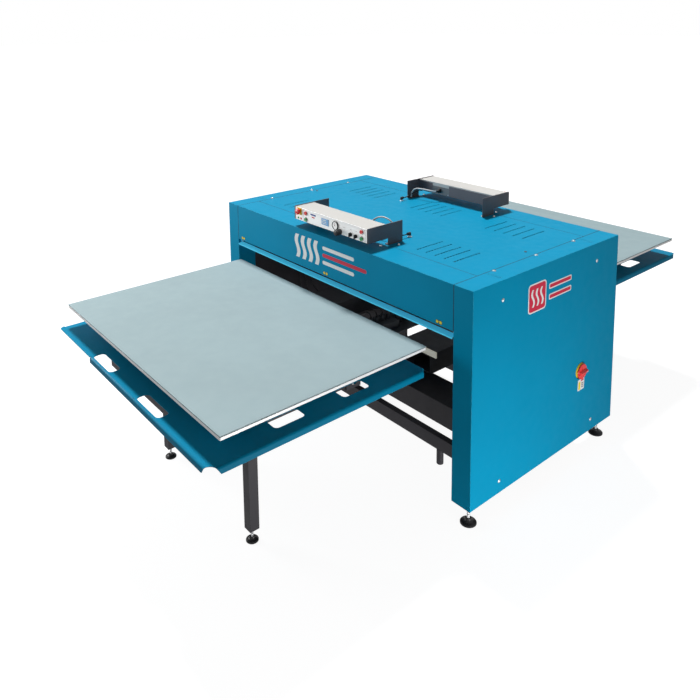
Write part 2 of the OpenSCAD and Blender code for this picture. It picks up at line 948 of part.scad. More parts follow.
side_frame_left();
side_frame_right();
upper_beams();
lower_beams();
bearers();
bearer_noses();
cross_tubes();
left_casing();
right_casing();
front_hood();
rear_hood();
top_cover();
casing_screws();
foot_pads();
foot_studs();
rails();
legs();
stop_bumpers();
guide_bushes();
pneumatic_unit();
electrical_box();
air_inlet();
cable_gland();
main_switch_plate();
console_boxes();
console_plates();
console_fascias();
console_instruments();
console_harness();
front_table_plate();
front_pad();
front_carriage();
front_tray();
front_outer_wheelset();
front_inner_wheelset();
rear_table_plate();
rear_pad();
rear_carriage();
rear_tray();
rear_outer_wheelset();
rear_inner_wheelset();
heat_platen();
heater_terminals();
insulation_board();
pressure_plate();
guide_rods();
air_bags();
return_springs();
front_trip_bar();
rear_trip_bar();
front_estop();
front_start_buttons();
front_stop_buttons();
pressure_knob();
left_selector();
right_selector();
rear_estop();
rear_start_buttons();
rear_stop_buttons();
main_switch_knob();
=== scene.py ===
"""Looks of a large shuttle heat press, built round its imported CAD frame.

Lengths are in metres. Outlines of small turned shapes are written in millimetres, inside mm() or rod().
"""

import json
import math

import bmesh
import bpy
from mathutils import Matrix, Vector, noise


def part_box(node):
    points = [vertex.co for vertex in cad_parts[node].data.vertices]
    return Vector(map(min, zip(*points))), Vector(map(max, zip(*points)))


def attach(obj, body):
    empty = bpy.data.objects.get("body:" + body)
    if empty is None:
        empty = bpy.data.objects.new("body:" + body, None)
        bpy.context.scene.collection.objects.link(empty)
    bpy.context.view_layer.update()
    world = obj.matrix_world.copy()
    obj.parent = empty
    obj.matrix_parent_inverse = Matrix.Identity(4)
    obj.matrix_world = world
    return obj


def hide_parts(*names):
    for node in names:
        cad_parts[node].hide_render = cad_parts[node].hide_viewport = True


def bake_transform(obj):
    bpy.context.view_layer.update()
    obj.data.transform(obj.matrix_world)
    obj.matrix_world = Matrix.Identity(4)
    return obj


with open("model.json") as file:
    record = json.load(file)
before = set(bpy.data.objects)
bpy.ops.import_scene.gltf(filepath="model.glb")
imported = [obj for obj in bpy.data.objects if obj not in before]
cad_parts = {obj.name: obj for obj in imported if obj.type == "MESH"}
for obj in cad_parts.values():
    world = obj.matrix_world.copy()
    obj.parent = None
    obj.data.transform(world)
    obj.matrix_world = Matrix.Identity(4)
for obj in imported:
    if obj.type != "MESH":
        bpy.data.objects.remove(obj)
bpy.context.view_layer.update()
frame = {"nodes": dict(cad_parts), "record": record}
MM = 0.001
NODES = frame["nodes"]
SLOT_OF = {part["node"]: part["material_slot"] for part in frame["record"]["subparts"]}
UP, RIGHT, FRONT = Vector((0, 0, 1)), Vector((1, 0, 0)), Vector((0, -1, 0))
CORNERS = ((-1, -1), (-1, 1), (1, -1), (1, 1))
# What the front and the rear share is made in front, then turned to its place.
TURNS = {"front": Matrix.Identity(4), "rear": Matrix.Rotation(math.pi, 4, "Z")}

# ---- camera, floor and light ----

CAMERA_PLACE = (2.9456, -2.9981, 2.3965)
CAMERA_YAW, CAMERA_PITCH, CAMERA_ROLL = 50.902, 8.021, -0.759
CAMERA_LENS, CAMERA_SHIFT = 35.918, (0.0318, -0.33)
FLOOR_SIZE, FLOOR_COLOUR, FLOOR_GLOW = 160, (0.2, 0.2, 0.202, 1), 0.93
SKY_SLOPE, SKY_LIGHT = (-0.4, 0.6), (0.12, 0.24)
MIRRORED_LIGHT = 0.6
RANGE_SOCKETS = ("From Min", "From Max", "To Min", "To Max")


def make_camera():
    """Camera at the photograph's angle; most of its look downwards is lens shift."""
    data = bpy.data.cameras.new("camera")
    data.lens = CAMERA_LENS
    data.shift_x, data.shift_y = CAMERA_SHIFT
    camera = bpy.data.objects.new("camera", data)
    bpy.context.scene.collection.objects.link(camera)
    yaw = Matrix.Rotation(math.radians(CAMERA_YAW), 4, "Z")
    pitch = Matrix.Rotation(math.radians(90 - CAMERA_PITCH), 4, "X")
    roll = Matrix.Rotation(math.radians(CAMERA_ROLL), 4, "Z")
    camera.matrix_world = Matrix.Translation(CAMERA_PLACE) @ yaw @ pitch @ roll
    bpy.context.scene.camera = camera


def add_light(name, kind, energy):
    """Light that the camera doesn't see."""
    data = bpy.data.lights.new(name, kind)
    data.energy = energy
    light = bpy.data.objects.new(name, data)
    light.rotation_mode = "QUATERNION"
    light.visible_camera = False
    bpy.context.scene.collection.objects.link(light)
    return light


def make_sun(name, towards, strength, softness):
    """Sun in the direction towards, softened over an angle in degrees."""
    sun = add_light(name, "SUN", strength)
    sun.data.angle = math.radians(softness)
    sun.rotation_quaternion = Vector(towards).to_track_quat("Z", "Y")


def make_softbox(name, place, aim, size, power):
    """Square studio light at place, turned towards aim. Its power is in watts."""
    box = add_light(name, "AREA", power)
    box.data.size = size
    box.location = place
    box.rotation_quaternion = (Vector(place) - Vector(aim)).to_track_quat("Z", "Y")


def make_floor():
    """Near-white studio floor. It throws no light of its own at the machine: the low sun does that."""
    bm = bmesh.new()
    bmesh.ops.create_grid(bm, x_segments=1, y_segments=1, size=FLOOR_SIZE / 2)
    mesh = bpy.data.meshes.new("floor")
    bm.to_mesh(mesh)
    bm.free()
    floor = bpy.data.objects.new("floor", mesh)
    bpy.context.scene.collection.objects.link(floor)
    paint = bpy.data.materials.new("floor_paint")
    paint.use_nodes = True
    shader = paint.node_tree.nodes["Principled BSDF"]
    shader.inputs["Base Color"].default_value = FLOOR_COLOUR
    shader.inputs["Roughness"].default_value = 0.9
    shader.inputs["Specular IOR Level"].default_value = 0.0
    shader.inputs["Emission Color"].default_value = (1, 1, 1, 1)
    shader.inputs["Emission Strength"].default_value = FLOOR_GLOW
    mesh.materials.append(paint)
    floor.visible_diffuse = floor.visible_glossy = floor.visible_shadow = False


def make_surroundings():
    """White to the camera, pale grey in reflections, and a dim sky, lighter above, to light the machine."""
    world = bpy.data.worlds.new("surroundings")
    world.use_nodes = True
    tree = world.node_tree
    nodes, links = tree.nodes, tree.links
    seen = nodes["Background"]
    seen.inputs["Color"].default_value = (1, 1, 1, 1)
    direction = nodes.new("ShaderNodeTexCoord")
    split = nodes.new("ShaderNodeSeparateXYZ")
    links.new(direction.outputs["Generated"], split.inputs["Vector"])
    level = nodes.new("ShaderNodeMapRange")
    for key, number in zip(RANGE_SOCKETS, SKY_SLOPE + SKY_LIGHT):
        level.inputs[key].default_value = number
    links.new(split.outputs["Z"], level.inputs["Value"])
    sky = nodes.new("ShaderNodeBackground")
    links.new(level.outputs["Result"], sky.inputs["Strength"])
    mirrored = nodes.new("ShaderNodeBackground")
    mirrored.inputs["Strength"].default_value = MIRRORED_LIGHT
    ray = nodes.new("ShaderNodeLightPath")
    last = sky
    for kind, light in (("Is Glossy Ray", mirrored), ("Is Camera Ray", seen)):
        choice = nodes.new("ShaderNodeMixShader")
        links.new(ray.outputs[kind], choice.inputs[0])
        links.new(last.outputs[0], choice.inputs[1])
        links.new(light.outputs[0], choice.inputs[2])
        last = choice
    links.new(last.outputs[0], nodes["World Output"].inputs["Surface"])
    bpy.context.scene.world = world


def make_stage():
    """Floor, surroundings and soft studio lights."""
    make_floor()
    make_surroundings()
    make_sun("overhead", towards=(-0.4, 0.2, 0.89), strength=4.0, softness=9)
    make_sun("side", towards=(0.98, 0.0, -0.1), strength=0.27, softness=24)
    make_softbox("left_box", place=(-2.9, -2.6, 1.5), aim=(-0.8, -0.7, 1.05), size=1.5, power=68)
    make_softbox("right_box", place=(2.7, -0.8, -0.1), aim=(1.04, -0.5, 0.25), size=1.2, power=35)
    make_softbox("front_box", place=(1.4, -4.8, 0.2), aim=(0.4, -0.6, 0.5), size=1.6, power=10)
    bpy.context.scene.view_settings.view_transform = "Standard"


make_camera()
make_stage()

# ---- materials ----

# Strength of the painted glow: emission that paints light on parts that are no lamps.
PAINTED_GLOW_STRENGTH, COAT_ROUGHNESS = 0.42, 0.12


class Shader:
    """A node material that starts from a Principled shader, with short ways to add nodes."""

    def __init__(self, name):
        self.material = bpy.data.materials.new(name)
        self.material.use_nodes = True
        self.nodes = self.material.node_tree.nodes
        self.main = self.nodes["Principled BSDF"]

    def link(self, source, target):
        """Joins an output to an input."""
        self.material.node_tree.links.new(source, target)

    def node(self, kind, settings=(), **sockets):
        """New node with its settings, and its inputs linked or set."""
        made = self.nodes.new("ShaderNode" + kind)
        for key, value in dict(settings).items():
            setattr(made, key, value)
        for key, value in sockets.items():
            socket = made.inputs[key.replace("_", " ")]
            if isinstance(value, bpy.types.NodeSocket):
                self.link(value, socket)
            else:
                socket.default_value = value
        return made

    def noise(self, scale, detail=3.0, stretch=(1, 1, 1)):
        """Noise in the object's own coordinates."""
        place = self.node("TexCoord").outputs["Object"]
        place = self.node("Mapping", Vector=place, Scale=stretch).outputs["Vector"]
        return self.node("TexNoise", Vector=place, Scale=scale, Detail=detail).outputs["Fac"]

    def between(self, value, low, high, start=0.3, end=0.7):
        """value, mapped from start..end to low..high and held there."""
        made = self.node("MapRange", Value=value)
        for key, number in zip(RANGE_SOCKETS, (start, end, low, high)):
            made.inputs[key].default_value = number
        return made.outputs["Result"]

    def mix(self, share, first, second):
        """Mix of two colours, each a tuple or a socket."""
        made = self.node("Mix", {"data_type": "RGBA"})
        for index, value in ((0, share), (6, first), (7, second)):
            if isinstance(value, bpy.types.NodeSocket):
                self.link(value, made.inputs[index])
            else:
                made.inputs[index].default_value = value
        return made.outputs[2]

    def combine(self, kind, operation, first, second):
        """Value that an operation makes of two values or two vectors."""
        made = self.node(kind, {"operation": operation})
        self.link(first, made.inputs[0])
        self.link(second, made.inputs[1])
        return made.outputs["Value"]

    def wear_and_highlight(self, rounded):
        """Share of edge in another colour, in patches where the rounded normal leaves the face's own: wear on
        the grey and dark paints, a painted highlight on the blue ones.
        """
        normal = self.node("NewGeometry").outputs["Normal"]
        edges = self.between(self.combine("VectorMath", "DOT_PRODUCT", rounded, normal), 1, 0, 0.86, 0.99)
        patches = self.between(self.noise(45.0, 5.0), 0.15, 0.7, 0.42, 0.6)
        return self.combine("Math", "MULTIPLY", edges, patches)

    def bump(self, height, distance, normal=None):
        """Normal bumped by height, on top of normal if it is given."""
        made = self.node("Bump", Height=height, Distance=distance, Strength=1.0)
        if normal:
            self.link(normal, made.inputs["Normal"])
        return made.outputs["Normal"]


def shade(colour, share):
    """colour made lighter (share above 1) or darker, as RGBA."""
    return tuple(min(1.0, c * share) for c in colour[:3]) + (1.0,)


def surface(name, colour, rough, metal=0.0, coat=0.0, vary=0.06, blotch=3.0, grain=500.0,
            depth=0.05 * MM, stretch=(1, 1, 1), wave=0.0, edge_wear_and_highlight=None, edge=1.2 * MM, spec=0.4,
            painted_glow=None):
    """Material with uneven colour and gloss, fine grain, rounded edges and, if asked, a second colour on its
    edges and an even glow.

    vary is how uneven the colour is, blotch and grain how small its patches and specks are, and depth how
    deep the grain is. stretch draws the grain out, and wave adds broad unevenness. The edge colour is wear on
    the grey and dark paints and a painted highlight on the blue ones. The glow is even emission that paints
    light on parts that are no lamps.
    """
    s = Shader(name)
    broad = s.noise(blotch, 4.0)
    fine = s.noise(grain, 2.0, stretch)
    tint = s.mix(s.between(broad, 0, 1), shade(colour, 1 - vary), shade(colour, 1 + vary))
    tint = s.mix(s.between(fine, 0, 0.5 * vary), tint, shade(colour, 0.6))
    rounded = s.node("Bevel", {"samples": 3}, Radius=edge).outputs["Normal"]
    # Edges in another colour: wear on the grey and dark paints, a painted highlight on the blue paints.
    if edge_wear_and_highlight:
        tint = s.mix(s.wear_and_highlight(rounded), tint, shade(edge_wear_and_highlight, 1))
    s.link(tint, s.main.inputs["Base Color"])
    s.link(s.between(s.noise(blotch * 7, 5.0), rough * 0.88, min(1, rough * 1.12)),
           s.main.inputs["Roughness"])
    if wave:
        rounded = s.bump(s.noise(2.3, 1.0), wave, rounded)
    s.link(s.bump(fine, depth, rounded), s.main.inputs["Normal"])
    s.main.inputs["Metallic"].default_value = metal
    s.main.inputs["Specular IOR Level"].default_value = spec
    # Even emission on a part that is no lamp: painted light.
    if painted_glow:
        s.main.inputs["Emission Color"].default_value = shade(painted_glow, 1)
        s.main.inputs["Emission Strength"].default_value = PAINTED_GLOW_STRENGTH
    s.main.inputs["Coat Weight"].default_value = coat
    s.main.inputs["Coat Roughness"].default_value = COAT_ROUGHNESS
    return s.material


# Colour, roughness, and what else surface() takes.
LOOKS = {
    # Case paint: its lighter cyan edges are a painted highlight along the folds.
    "case_paint": ((0.0, 0.262, 0.455), 0.46, dict(vary=0.03, grain=700, depth=0.02 * MM, wave=0.3 * MM,
                                                   edge_wear_and_highlight=(0.1, 0.6, 0.8), edge=3.4 * MM, spec=0.06)),
    # Tray paint: the case's blue made darker, painted shade from the table above it; its lighter edges are a
    # painted highlight.
    "tray_paint": ((0.0, 0.19, 0.33), 0.42, dict(vary=0.04, grain=700, depth=0.02 * MM,
                                                 edge_wear_and_highlight=(0.12, 0.55, 0.72), edge=2.6 * MM, spec=0.06)),
    # Trip bars: their glow and lighter edges are painted light.
    "trip_paint": ((0.08, 0.6, 0.82), 0.45, dict(vary=0.03, edge_wear_and_highlight=(0.3, 0.75, 0.9), spec=0.1,
                                                 painted_glow=(0.04, 0.34, 0.56))),
    "frame_paint": ((0.03, 0.028, 0.035), 0.46, dict(vary=0.16, grain=800, edge_wear_and_highlight=(0.14, 0.14, 0.15))),
    "bearer_paint": ((0.06, 0.062, 0.07), 0.5, dict(vary=0.2, edge_wear_and_highlight=(0.2, 0.2, 0.2))),
    # Nose blocks: their glow paints light on them where they stand in shade.
    "nose_nylon": ((0.86, 0.85, 0.78), 0.42, dict(vary=0.04, painted_glow=(0.5, 0.5, 0.42))),
    "zinc": ((0.68, 0.69, 0.7), 0.3, dict(metal=1.0, vary=0.1, blotch=60, grain=900)),
    "black_rubber": ((0.02, 0.02, 0.022), 0.75, dict(vary=0.2, grain=900)),
    "black_plastic": ((0.012, 0.012, 0.014), 0.38, dict(vary=0.15, grain=1200)),
    "bronze": ((0.6, 0.42, 0.2), 0.4, dict(metal=1.0, vary=0.12, blotch=30)),
    "brass": ((0.75, 0.56, 0.25), 0.28, dict(metal=1.0, vary=0.08, blotch=60)),
    "valve_paint": ((0.09, 0.1, 0.115), 0.42, dict(vary=0.1, edge_wear_and_highlight=(0.3, 0.3, 0.3))),
    "box_paint": ((0.5, 0.51, 0.51), 0.42, dict(vary=0.04, edge_wear_and_highlight=(0.35, 0.35, 0.35))),
    "console_grey": ((0.55, 0.54, 0.515), 0.5, dict(vary=0.03, grain=900, depth=0.06 * MM)),
    "console_plate": ((0.135, 0.112, 0.12), 0.42, dict(vary=0.08, edge_wear_and_highlight=(0.2, 0.2, 0.22))),
    # Fascia: its glow is painted light.
    "fascia_white": ((0.95, 0.95, 0.95), 0.34, dict(vary=0.01, coat=0.3, painted_glow=(0.45, 0.45, 0.45))),
    "display_blue": ((0.28, 0.5, 0.85), 0.2, dict(coat=0.6, vary=0.05)),
    "cable_grey": ((0.6, 0.61, 0.62), 0.42, dict(vary=0.06, grain=1500)),
    "table_alloy": ((0.95, 0.95, 0.95), 0.4, dict(metal=0.15, vary=0.05, grain=160, stretch=(0.06, 1, 6),
                                                  depth=0.04 * MM)),
    "pad_silicone": ((0.245, 0.33, 0.35), 0.66, dict(vary=0.035, blotch=2.2, grain=420, depth=0.12 * MM,
                                                     wave=0.8 * MM)),
    "glue": ((0.05, 0.055, 0.06), 0.7, dict(vary=0.2)),
    "wheel_steel": ((0.56, 0.57, 0.58), 0.32, dict(metal=1.0, vary=0.1, grain=260, stretch=(1, 0.1, 0.1))),
    "platen_alloy": ((0.62, 0.62, 0.63), 0.34, dict(metal=1.0, vary=0.08, grain=200, stretch=(1, 0.05, 1))),
    "ceramic": ((0.8, 0.77, 0.68), 0.3, dict(coat=0.4, vary=0.05)),
    "board": ((0.62, 0.56, 0.42), 0.85, dict(vary=0.12, blotch=20, grain=300, depth=0.2 * MM)),
    "rod_steel": ((0.8, 0.81, 0.82), 0.12, dict(metal=1.0, vary=0.03)),
    "bag_rubber": ((0.022, 0.022, 0.022), 0.62, dict(vary=0.2, grain=500, depth=0.2 * MM)),
    "spring_steel": ((0.35, 0.36, 0.38), 0.3, dict(metal=1.0, vary=0.12, blotch=50)),
    "red_plastic": ((0.85, 0.03, 0.03), 0.28, dict(coat=0.3, vary=0.05)),
    "green_plastic": ((0.02, 0.36, 0.1), 0.28, dict(coat=0.3, vary=0.05)),
    "switch_yellow": ((0.86, 0.55, 0.02), 0.32, dict(coat=0.2, vary=0.04)),
    "print_white": ((0.84, 0.84, 0.83), 0.4, dict(vary=0.02)),
    "print_red": ((0.62, 0.01, 0.05), 0.4, dict(vary=0.03)),
    "print_yellow": ((0.85, 0.68, 0.03), 0.45, dict(vary=0.04)),
    "print_black": ((0.015, 0.015, 0.018), 0.4, dict(vary=0.1)),
    "print_blue": ((0.02, 0.06, 0.3), 0.4, dict(vary=0.04)),
    "screen": ((0.25, 0.55, 0.95), 0.15, dict(coat=0.8, vary=0.03)),
    "connector_grey": ((0.17, 0.17, 0.172), 0.4, dict(vary=0.08)),
    # Near-black strips over the panel gaps: painted shade of the gaps.
    "seam": ((0.004, 0.02, 0.03), 0.8, dict(vary=0.2)),
    "hose_black": ((0.02, 0.02, 0.024), 0.35, dict(vary=0.1)),
}
M = {name: surface(name, colour, rough, **more) for name, (colour, rough, more) in LOOKS.items()}

# ---- mesh helpers ----


def mm(points):
    """Outline given in millimetres, as metres."""
    return [(a * MM, b * MM) for a, b in points]


def rod(radius, low, high):
    """Outline of a plain rod between two heights, all given in millimetres."""
    return mm([(0, low), (radius, low), (radius, high), (0, high)])


def mark(bm, index):
    """Gives every face made since the last call the material at index."""
    for face in bm.faces:
        if not face.tag:
            face.tag, face.material_index = True, index


def add_block(bm, low, high, edge=0.0, m=0, steps=3):
    """Box from corner low to corner high, with rounded edges."""
    low, high = Vector(low), Vector(high)
    made = bmesh.ops.create_cube(bm, size=1)["verts"]
    for v in made:
        v.co = (low + high) / 2 + v.co * (high - low)
    if edge:
        edges = list({e for v in made for e in v.link_edges})
        bmesh.ops.bevel(bm, geom=edges, offset=edge, segments=steps, profile=0.5, affect="EDGES")
    mark(bm, m)


def join_rings(bm, a, b):
    """Band of faces between two rings of as many vertices."""
    for i in range(len(a)):
        j = (i + 1) % len(a)
        bm.faces.new([a[i], a[j], b[j], b[i]])


def add_turned(bm, outline, place, axis, steps=40, m=0, lobes=0, flute=0.0):
    """Solid of revolution: outline is (radius, height) along axis from place. lobes flute its sides.

    An outline that ends where it starts makes a hollow ring, and any other is closed by flat ends.
    """
    move = Matrix.Translation(place) @ Vector(axis).to_track_quat("Z", "Y").to_matrix().to_4x4()
    rings = []
    hollow = outline[0] == outline[-1]
    for radius, height in outline[:-1] if hollow else outline:
        if radius == 0:
            rings.append([bm.verts.new(move @ Vector((0, 0, height)))])
            continue
        ring = []
        for i in range(steps):
            a = 2 * math.pi * i / steps
            r = radius - flute * (0.5 + 0.5 * math.cos(lobes * a)) ** 2 if lobes else radius
            ring.append(bm.verts.new(move @ Vector((r * math.cos(a), r * math.sin(a), height))))
        rings.append(ring)
    if hollow:
        rings.append(rings[0])
    for a, b in zip(rings, rings[1:]):
        for i in range(steps):
            j = (i + 1) % steps
            corners = [a[i % len(a)], a[j % len(a)], b[j % len(b)], b[i % len(b)]]
            corners = [v for k, v in enumerate(corners) if v not in corners[:k]]
            if len(corners) > 2:
                bm.faces.new(corners)
    for ring in () if hollow else (rings[0], rings[-1]):
        if len(ring) > 1:
            bm.faces.new(ring)
    mark(bm, m)


def add_sweep(bm, points, radius, sides=12, m=0):
    """Round tube along points, with flat ends."""
    points = [Vector(p) for p in points]
    angles = [2 * math.pi * k / sides for k in range(sides)]
    side = None
    rings = []
    for i, p in enumerate(points):
        along = (points[min(i + 1, len(points) - 1)] - points[max(i - 1, 0)]).normalized()
        side = side or along.orthogonal()
        side = (side - along * side.dot(along)).normalized()
        other = along.cross(side)
        rings.append([bm.verts.new(p + radius * (math.cos(a) * side + math.sin(a) * other)) for a in angles])
    for a, b in zip(rings, rings[1:]):
        join_rings(bm, a, b)
    bm.faces.new(rings[0])
    bm.faces.new(rings[-1])
    mark(bm, m)


def curve_through(points, steps=8):
    """Smooth curve through points, with steps parts between neighbours (Catmull-Rom)."""
    p = [Vector(q) for q in points]
    p = [p[0] * 2 - p[1], *p, p[-1] * 2 - p[-2]]
    made = []
    for a, b, c, d in zip(p, p[1:], p[2:], p[3:]):
        for k in range(steps):
            t = k / steps
            made.append(0.5 * (2 * b + (c - a) * t + (2 * a - 5 * b + 4 * c - d) * t * t
                               + (3 * b - a - 3 * c + d) * t ** 3))
    return made + [p[-2]]


def bezier(p, t):
    """Point at t on the cubic Bezier curve with control points p."""
    return p[0] * (1 - t) ** 3 + p[1] * 3 * t * (1 - t) ** 2 + p[2] * 3 * t * t * (1 - t) + p[3] * t ** 3


def add_plate(bm, outline, thick, place, u, v, m=0):
    """Flat plate: outline is (u, v) points from place, raised by thick along u x v."""
    place, u, v = Vector(place), Vector(u), Vector(v)
    lift = u.cross(v).normalized() * thick
    low = [bm.verts.new(place + u * a + v * b) for a, b in outline]
    high = [bm.verts.new(w.co + lift) for w in low]
    bm.faces.new(high)
    bm.faces.new(low[::-1])
    join_rings(bm, low, high)
    mark(bm, m)


def add_screw(bm, place, axis, r, h, m=0):
    """Domed screw head with a socket, on a washer. Its radius and height are in millimetres."""
    washer = 0.18 * h
    dome = [(r * math.cos(a), washer + (h - washer) * math.sin(a)) for a in (0.25, 0.5, 0.8, 1.05)]
    socket = [(0, 0.35 * h), (0.42 * r, 0.4 * h), (0.45 * r, h)]
    foot = [(r, washer + 0.1 * h), (r, washer), (1.3 * r, washer), (1.3 * r, 0), (0, 0)]
    add_turned(bm, mm(socket + dome[::-1] + foot), place, axis, steps=24, m=m)


def rounded(width, height, radius, centre=(0, 0), steps=5):
    """Outline of a rectangle with rounded corners."""
    made = []
    for k, (sx, sy) in enumerate(((1, 1), (-1, 1), (-1, -1), (1, -1))):
        for i in range(steps + 1):
            a = math.pi / 2 * (k + i / steps)
            made.append((centre[0] + sx * (width / 2 - radius) + radius * math.cos(a),
                         centre[1] + sy * (height / 2 - radius) + radius * math.sin(a)))
    return made


def arc(radius, start, end, steps):
    """Points on an arc from angle start to angle end."""
    angles = [start + (end - start) * i / steps for i in range(steps + 1)]
    return [(radius * math.cos(a), radius * math.sin(a)) for a in angles]


def wavy(length, width, swing, centre, steps=24):
    """Outline of an upright wavy band. swing is how far it goes to each side."""
    right, left = [], []
    for i in range(steps + 1):
        x = centre[0] + math.sin(2 * math.pi * i / steps) * swing
        y = centre[1] + length * (i / steps - 0.5)
        right.append((x + width / 2, y))
        left.append((x - width / 2, y))
    return right + left[::-1]


def piece(name, bm, materials, body, replaces=(), turn=None, sharp=35):
    """Makes an object of bm that rides on body, and stands for the CAD nodes in replaces."""
    if turn:
        bmesh.ops.transform(bm, matrix=turn, verts=bm.verts)
    bmesh.ops.recalc_face_normals(bm, faces=bm.faces)
    mesh = bpy.data.meshes.new(name)
    bm.to_mesh(mesh)
    bm.free()
    for material in materials:
        mesh.materials.append(M[material])
    mesh.polygons.foreach_set("use_smooth", [True] * len(mesh.polygons))
    mesh.set_sharp_from_angle(angle=math.radians(sharp))
    obj = bpy.data.objects.new(name, mesh)
    bpy.context.scene.collection.objects.link(obj)
    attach(obj, body)
    if replaces:
        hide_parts(*replaces)
    return obj


# ---- CAD nodes that stay: their record slot names their material ----

# Roundings in millimetres.
BEVELS = {
    "frame_paint": 2.5, "case_paint": 1.0, "tray_paint": 0.8, "console_plate": 0.8, "console_grey": 0.8,
    "bearer_paint": 2.0, "nose_nylon": 1.5, "black_rubber": 3.0, "box_paint": 2.0, "table_alloy": 0.8,
    "platen_alloy": 1.5, "valve_paint": 1.5, "trip_paint": 0.7,
}


def dress_cad_nodes():
    """Gives each CAD node its material, and rounds its edges as BEVELS says, but not the louvred cover's."""
    for name, node in NODES.items():
        slot = SLOT_OF[name]
        node.data.materials.clear()
        node.data.materials.append(M[slot])
        width = BEVELS.get(slot)
        if width and name != "top_cover":
            bevel = node.modifiers.new("rounding", "BEVEL")
            bevel.width, bevel.segments = width * MM, 2
            bevel.limit_method, bevel.angle_limit = "ANGLE", math.radians(50)
            bevel.use_clamp_overlap = True
            bevel.harden_normals = True


dress_cad_nodes()

# ---- tables ----

PAD_CELLS_X, PAD_CELLS_Y = 56, 38
PAD_ROUNDING, PAD_DIP, PAD_BUMPS = 1.2 * MM, 0.12 * MM, 5
GLUE_THICK, GLUE_INSET = 1.8 * MM, 1.6 * MM
TRAY_BOLTS_X, TRAY_BOLTS_Y = (-0.58, 0.58), (-1.62, -1.36, -1.12, -0.86)
WHEEL_X, COLLAR_X, CLIP_X = 0.413, 0.528, 0.5495
SHAFT_MM = 12.5


def spread(low, high, inset, count):
    """Even steps from low to high, each moved in by inset."""
    return [low + inset + (high - low - 2 * inset) * i / count for i in range(count + 1)]


def pad_ring(bm, low, high, inset, z):
    """Vertices round the pad, moved in by inset, at height z."""
    xs, ys = spread(low.x, high.x, inset, PAD_CELLS_X), spread(low.y, high.y, inset, PAD_CELLS_Y)
    line = [(x, ys[0]) for x in xs] + [(xs[-1], y) for y in ys[1:]]
    line += [(x, ys[-1]) for x in xs[-2::-1]] + [(xs[0], y) for y in ys[-2:0:-1]]
    return [bm.verts.new((x, y, z)) for x, y in line]


def make_pad(side):
    """Silicone pad: a sheet with rounded edges, a little uneven, on a dark glue line."""
    low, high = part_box(f"{side}_pad")
    bm = bmesh.new()
    grid = []
    for y in spread(low.y, high.y, PAD_ROUNDING, PAD_CELLS_Y):
        row = []
        for x in spread(low.x, high.x, PAD_ROUNDING, PAD_CELLS_X):
            dip = PAD_DIP * (1 + noise.noise(Vector((x * PAD_BUMPS, y * PAD_BUMPS, 3))))
            row.append(bm.verts.new((x, y, high.z - dip)))
        grid.append(row)
    rim = grid[0] + [row[-1] for row in grid[1:]] + grid[-1][-2::-1] + [row[0] for row in grid[-2:0:-1]]
    for vertex in rim:
        vertex.co.z = high.z
    for a, b in zip(grid, grid[1:]):
        for i in range(PAD_CELLS_X):
            bm.faces.new([a[i], a[i + 1], b[i + 1], b[i]])
    for k in range(1, 5):
        a = math.pi / 2 * k / 4
        inset, drop = PAD_ROUNDING * (1 - math.sin(a)), PAD_ROUNDING * (1 - math.cos(a))
        level = pad_ring(bm, low, high, inset, high.z - drop)
        join_rings(bm, rim, level)
        rim = level
    bottom = pad_ring(bm, low, high, 0, low.z + GLUE_THICK)
    join_rings(bm, rim, bottom)
    bm.faces.new(bottom)
    mark(bm, 0)
    inset = Vector((GLUE_INSET, GLUE_INSET, 0))
    add_block(bm, low + inset, Vector((high.x, high.y, low.z + GLUE_THICK)) - inset, m=1)
    pad = piece(f"{side}_silicone_pad", bm, ["pad_silicone", "glue"], f"{side}_shuttle", [f"{side}_pad"])


def make_tray_bolts(side):
    """Bolts that hold the tray to the hangers of its carriage."""
    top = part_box("front_tray")[1].z
    bm = bmesh.new()
    for x in TRAY_BOLTS_X:
        for y in TRAY_BOLTS_Y:
            add_screw(bm, (x, y, top), UP, 6, 4)
    piece(f"{side}_tray_bolts", bm, ["zinc"], f"{side}_shuttle", turn=TURNS[side])


def make_wheels(side, which):
    """Two flanged-hub wheels on a ground shaft, with collars and retaining rings."""
    node = f"{side}_{which}_wheelset"
    low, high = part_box(node)
    centre = (low + high) / 2
    half, tip = high.x / MM, SHAFT_MM - 1
    bm = bmesh.new()

    def on_shaft(outline, x, steps, m):
        add_turned(bm, mm(outline), (x, centre.y, centre.z), RIGHT, steps=steps, m=m)

    shaft = [(0, -half), (tip, -half), (SHAFT_MM, 1 - half), (SHAFT_MM, half - 1), (tip, half), (0, half)]
    on_shaft(shaft, 0, 32, 0)
    wheel = [(SHAFT_MM, -30), (21, -30), (22, -29), (22, -12), (27, -9), (36, -9), (38, -14), (39, -17),
             (43.5, -17), (45, -15.5)]
    wheel += [(r, -h) for r, h in wheel[::-1]]
    collar = [(SHAFT_MM, -5), (18, -5), (19, -4), (19, 4), (18, 5), (SHAFT_MM, 5)]
    clip = [(SHAFT_MM, -0.75), (15, -0.75), (15, 0.75), (SHAFT_MM, 0.75)]
    for s in (-1, 1):
        on_shaft(wheel, s * WHEEL_X, 56, 1)
        on_shaft(collar, s * COLLAR_X, 32, 1)
        on_shaft(clip, s * CLIP_X, 24, 2)
    piece(f"{node}_turned", bm, ["rod_steel", "wheel_steel", "zinc"], f"{side}_{which}_wheels", [node])


for side in TURNS:
    make_pad(side)
    make_tray_bolts(side)
    for which in ("outer", "inner"):
        make_wheels(side, which)

# ---- casings: screws, badges, tags, plugs, painted seam shadows and main switch ----

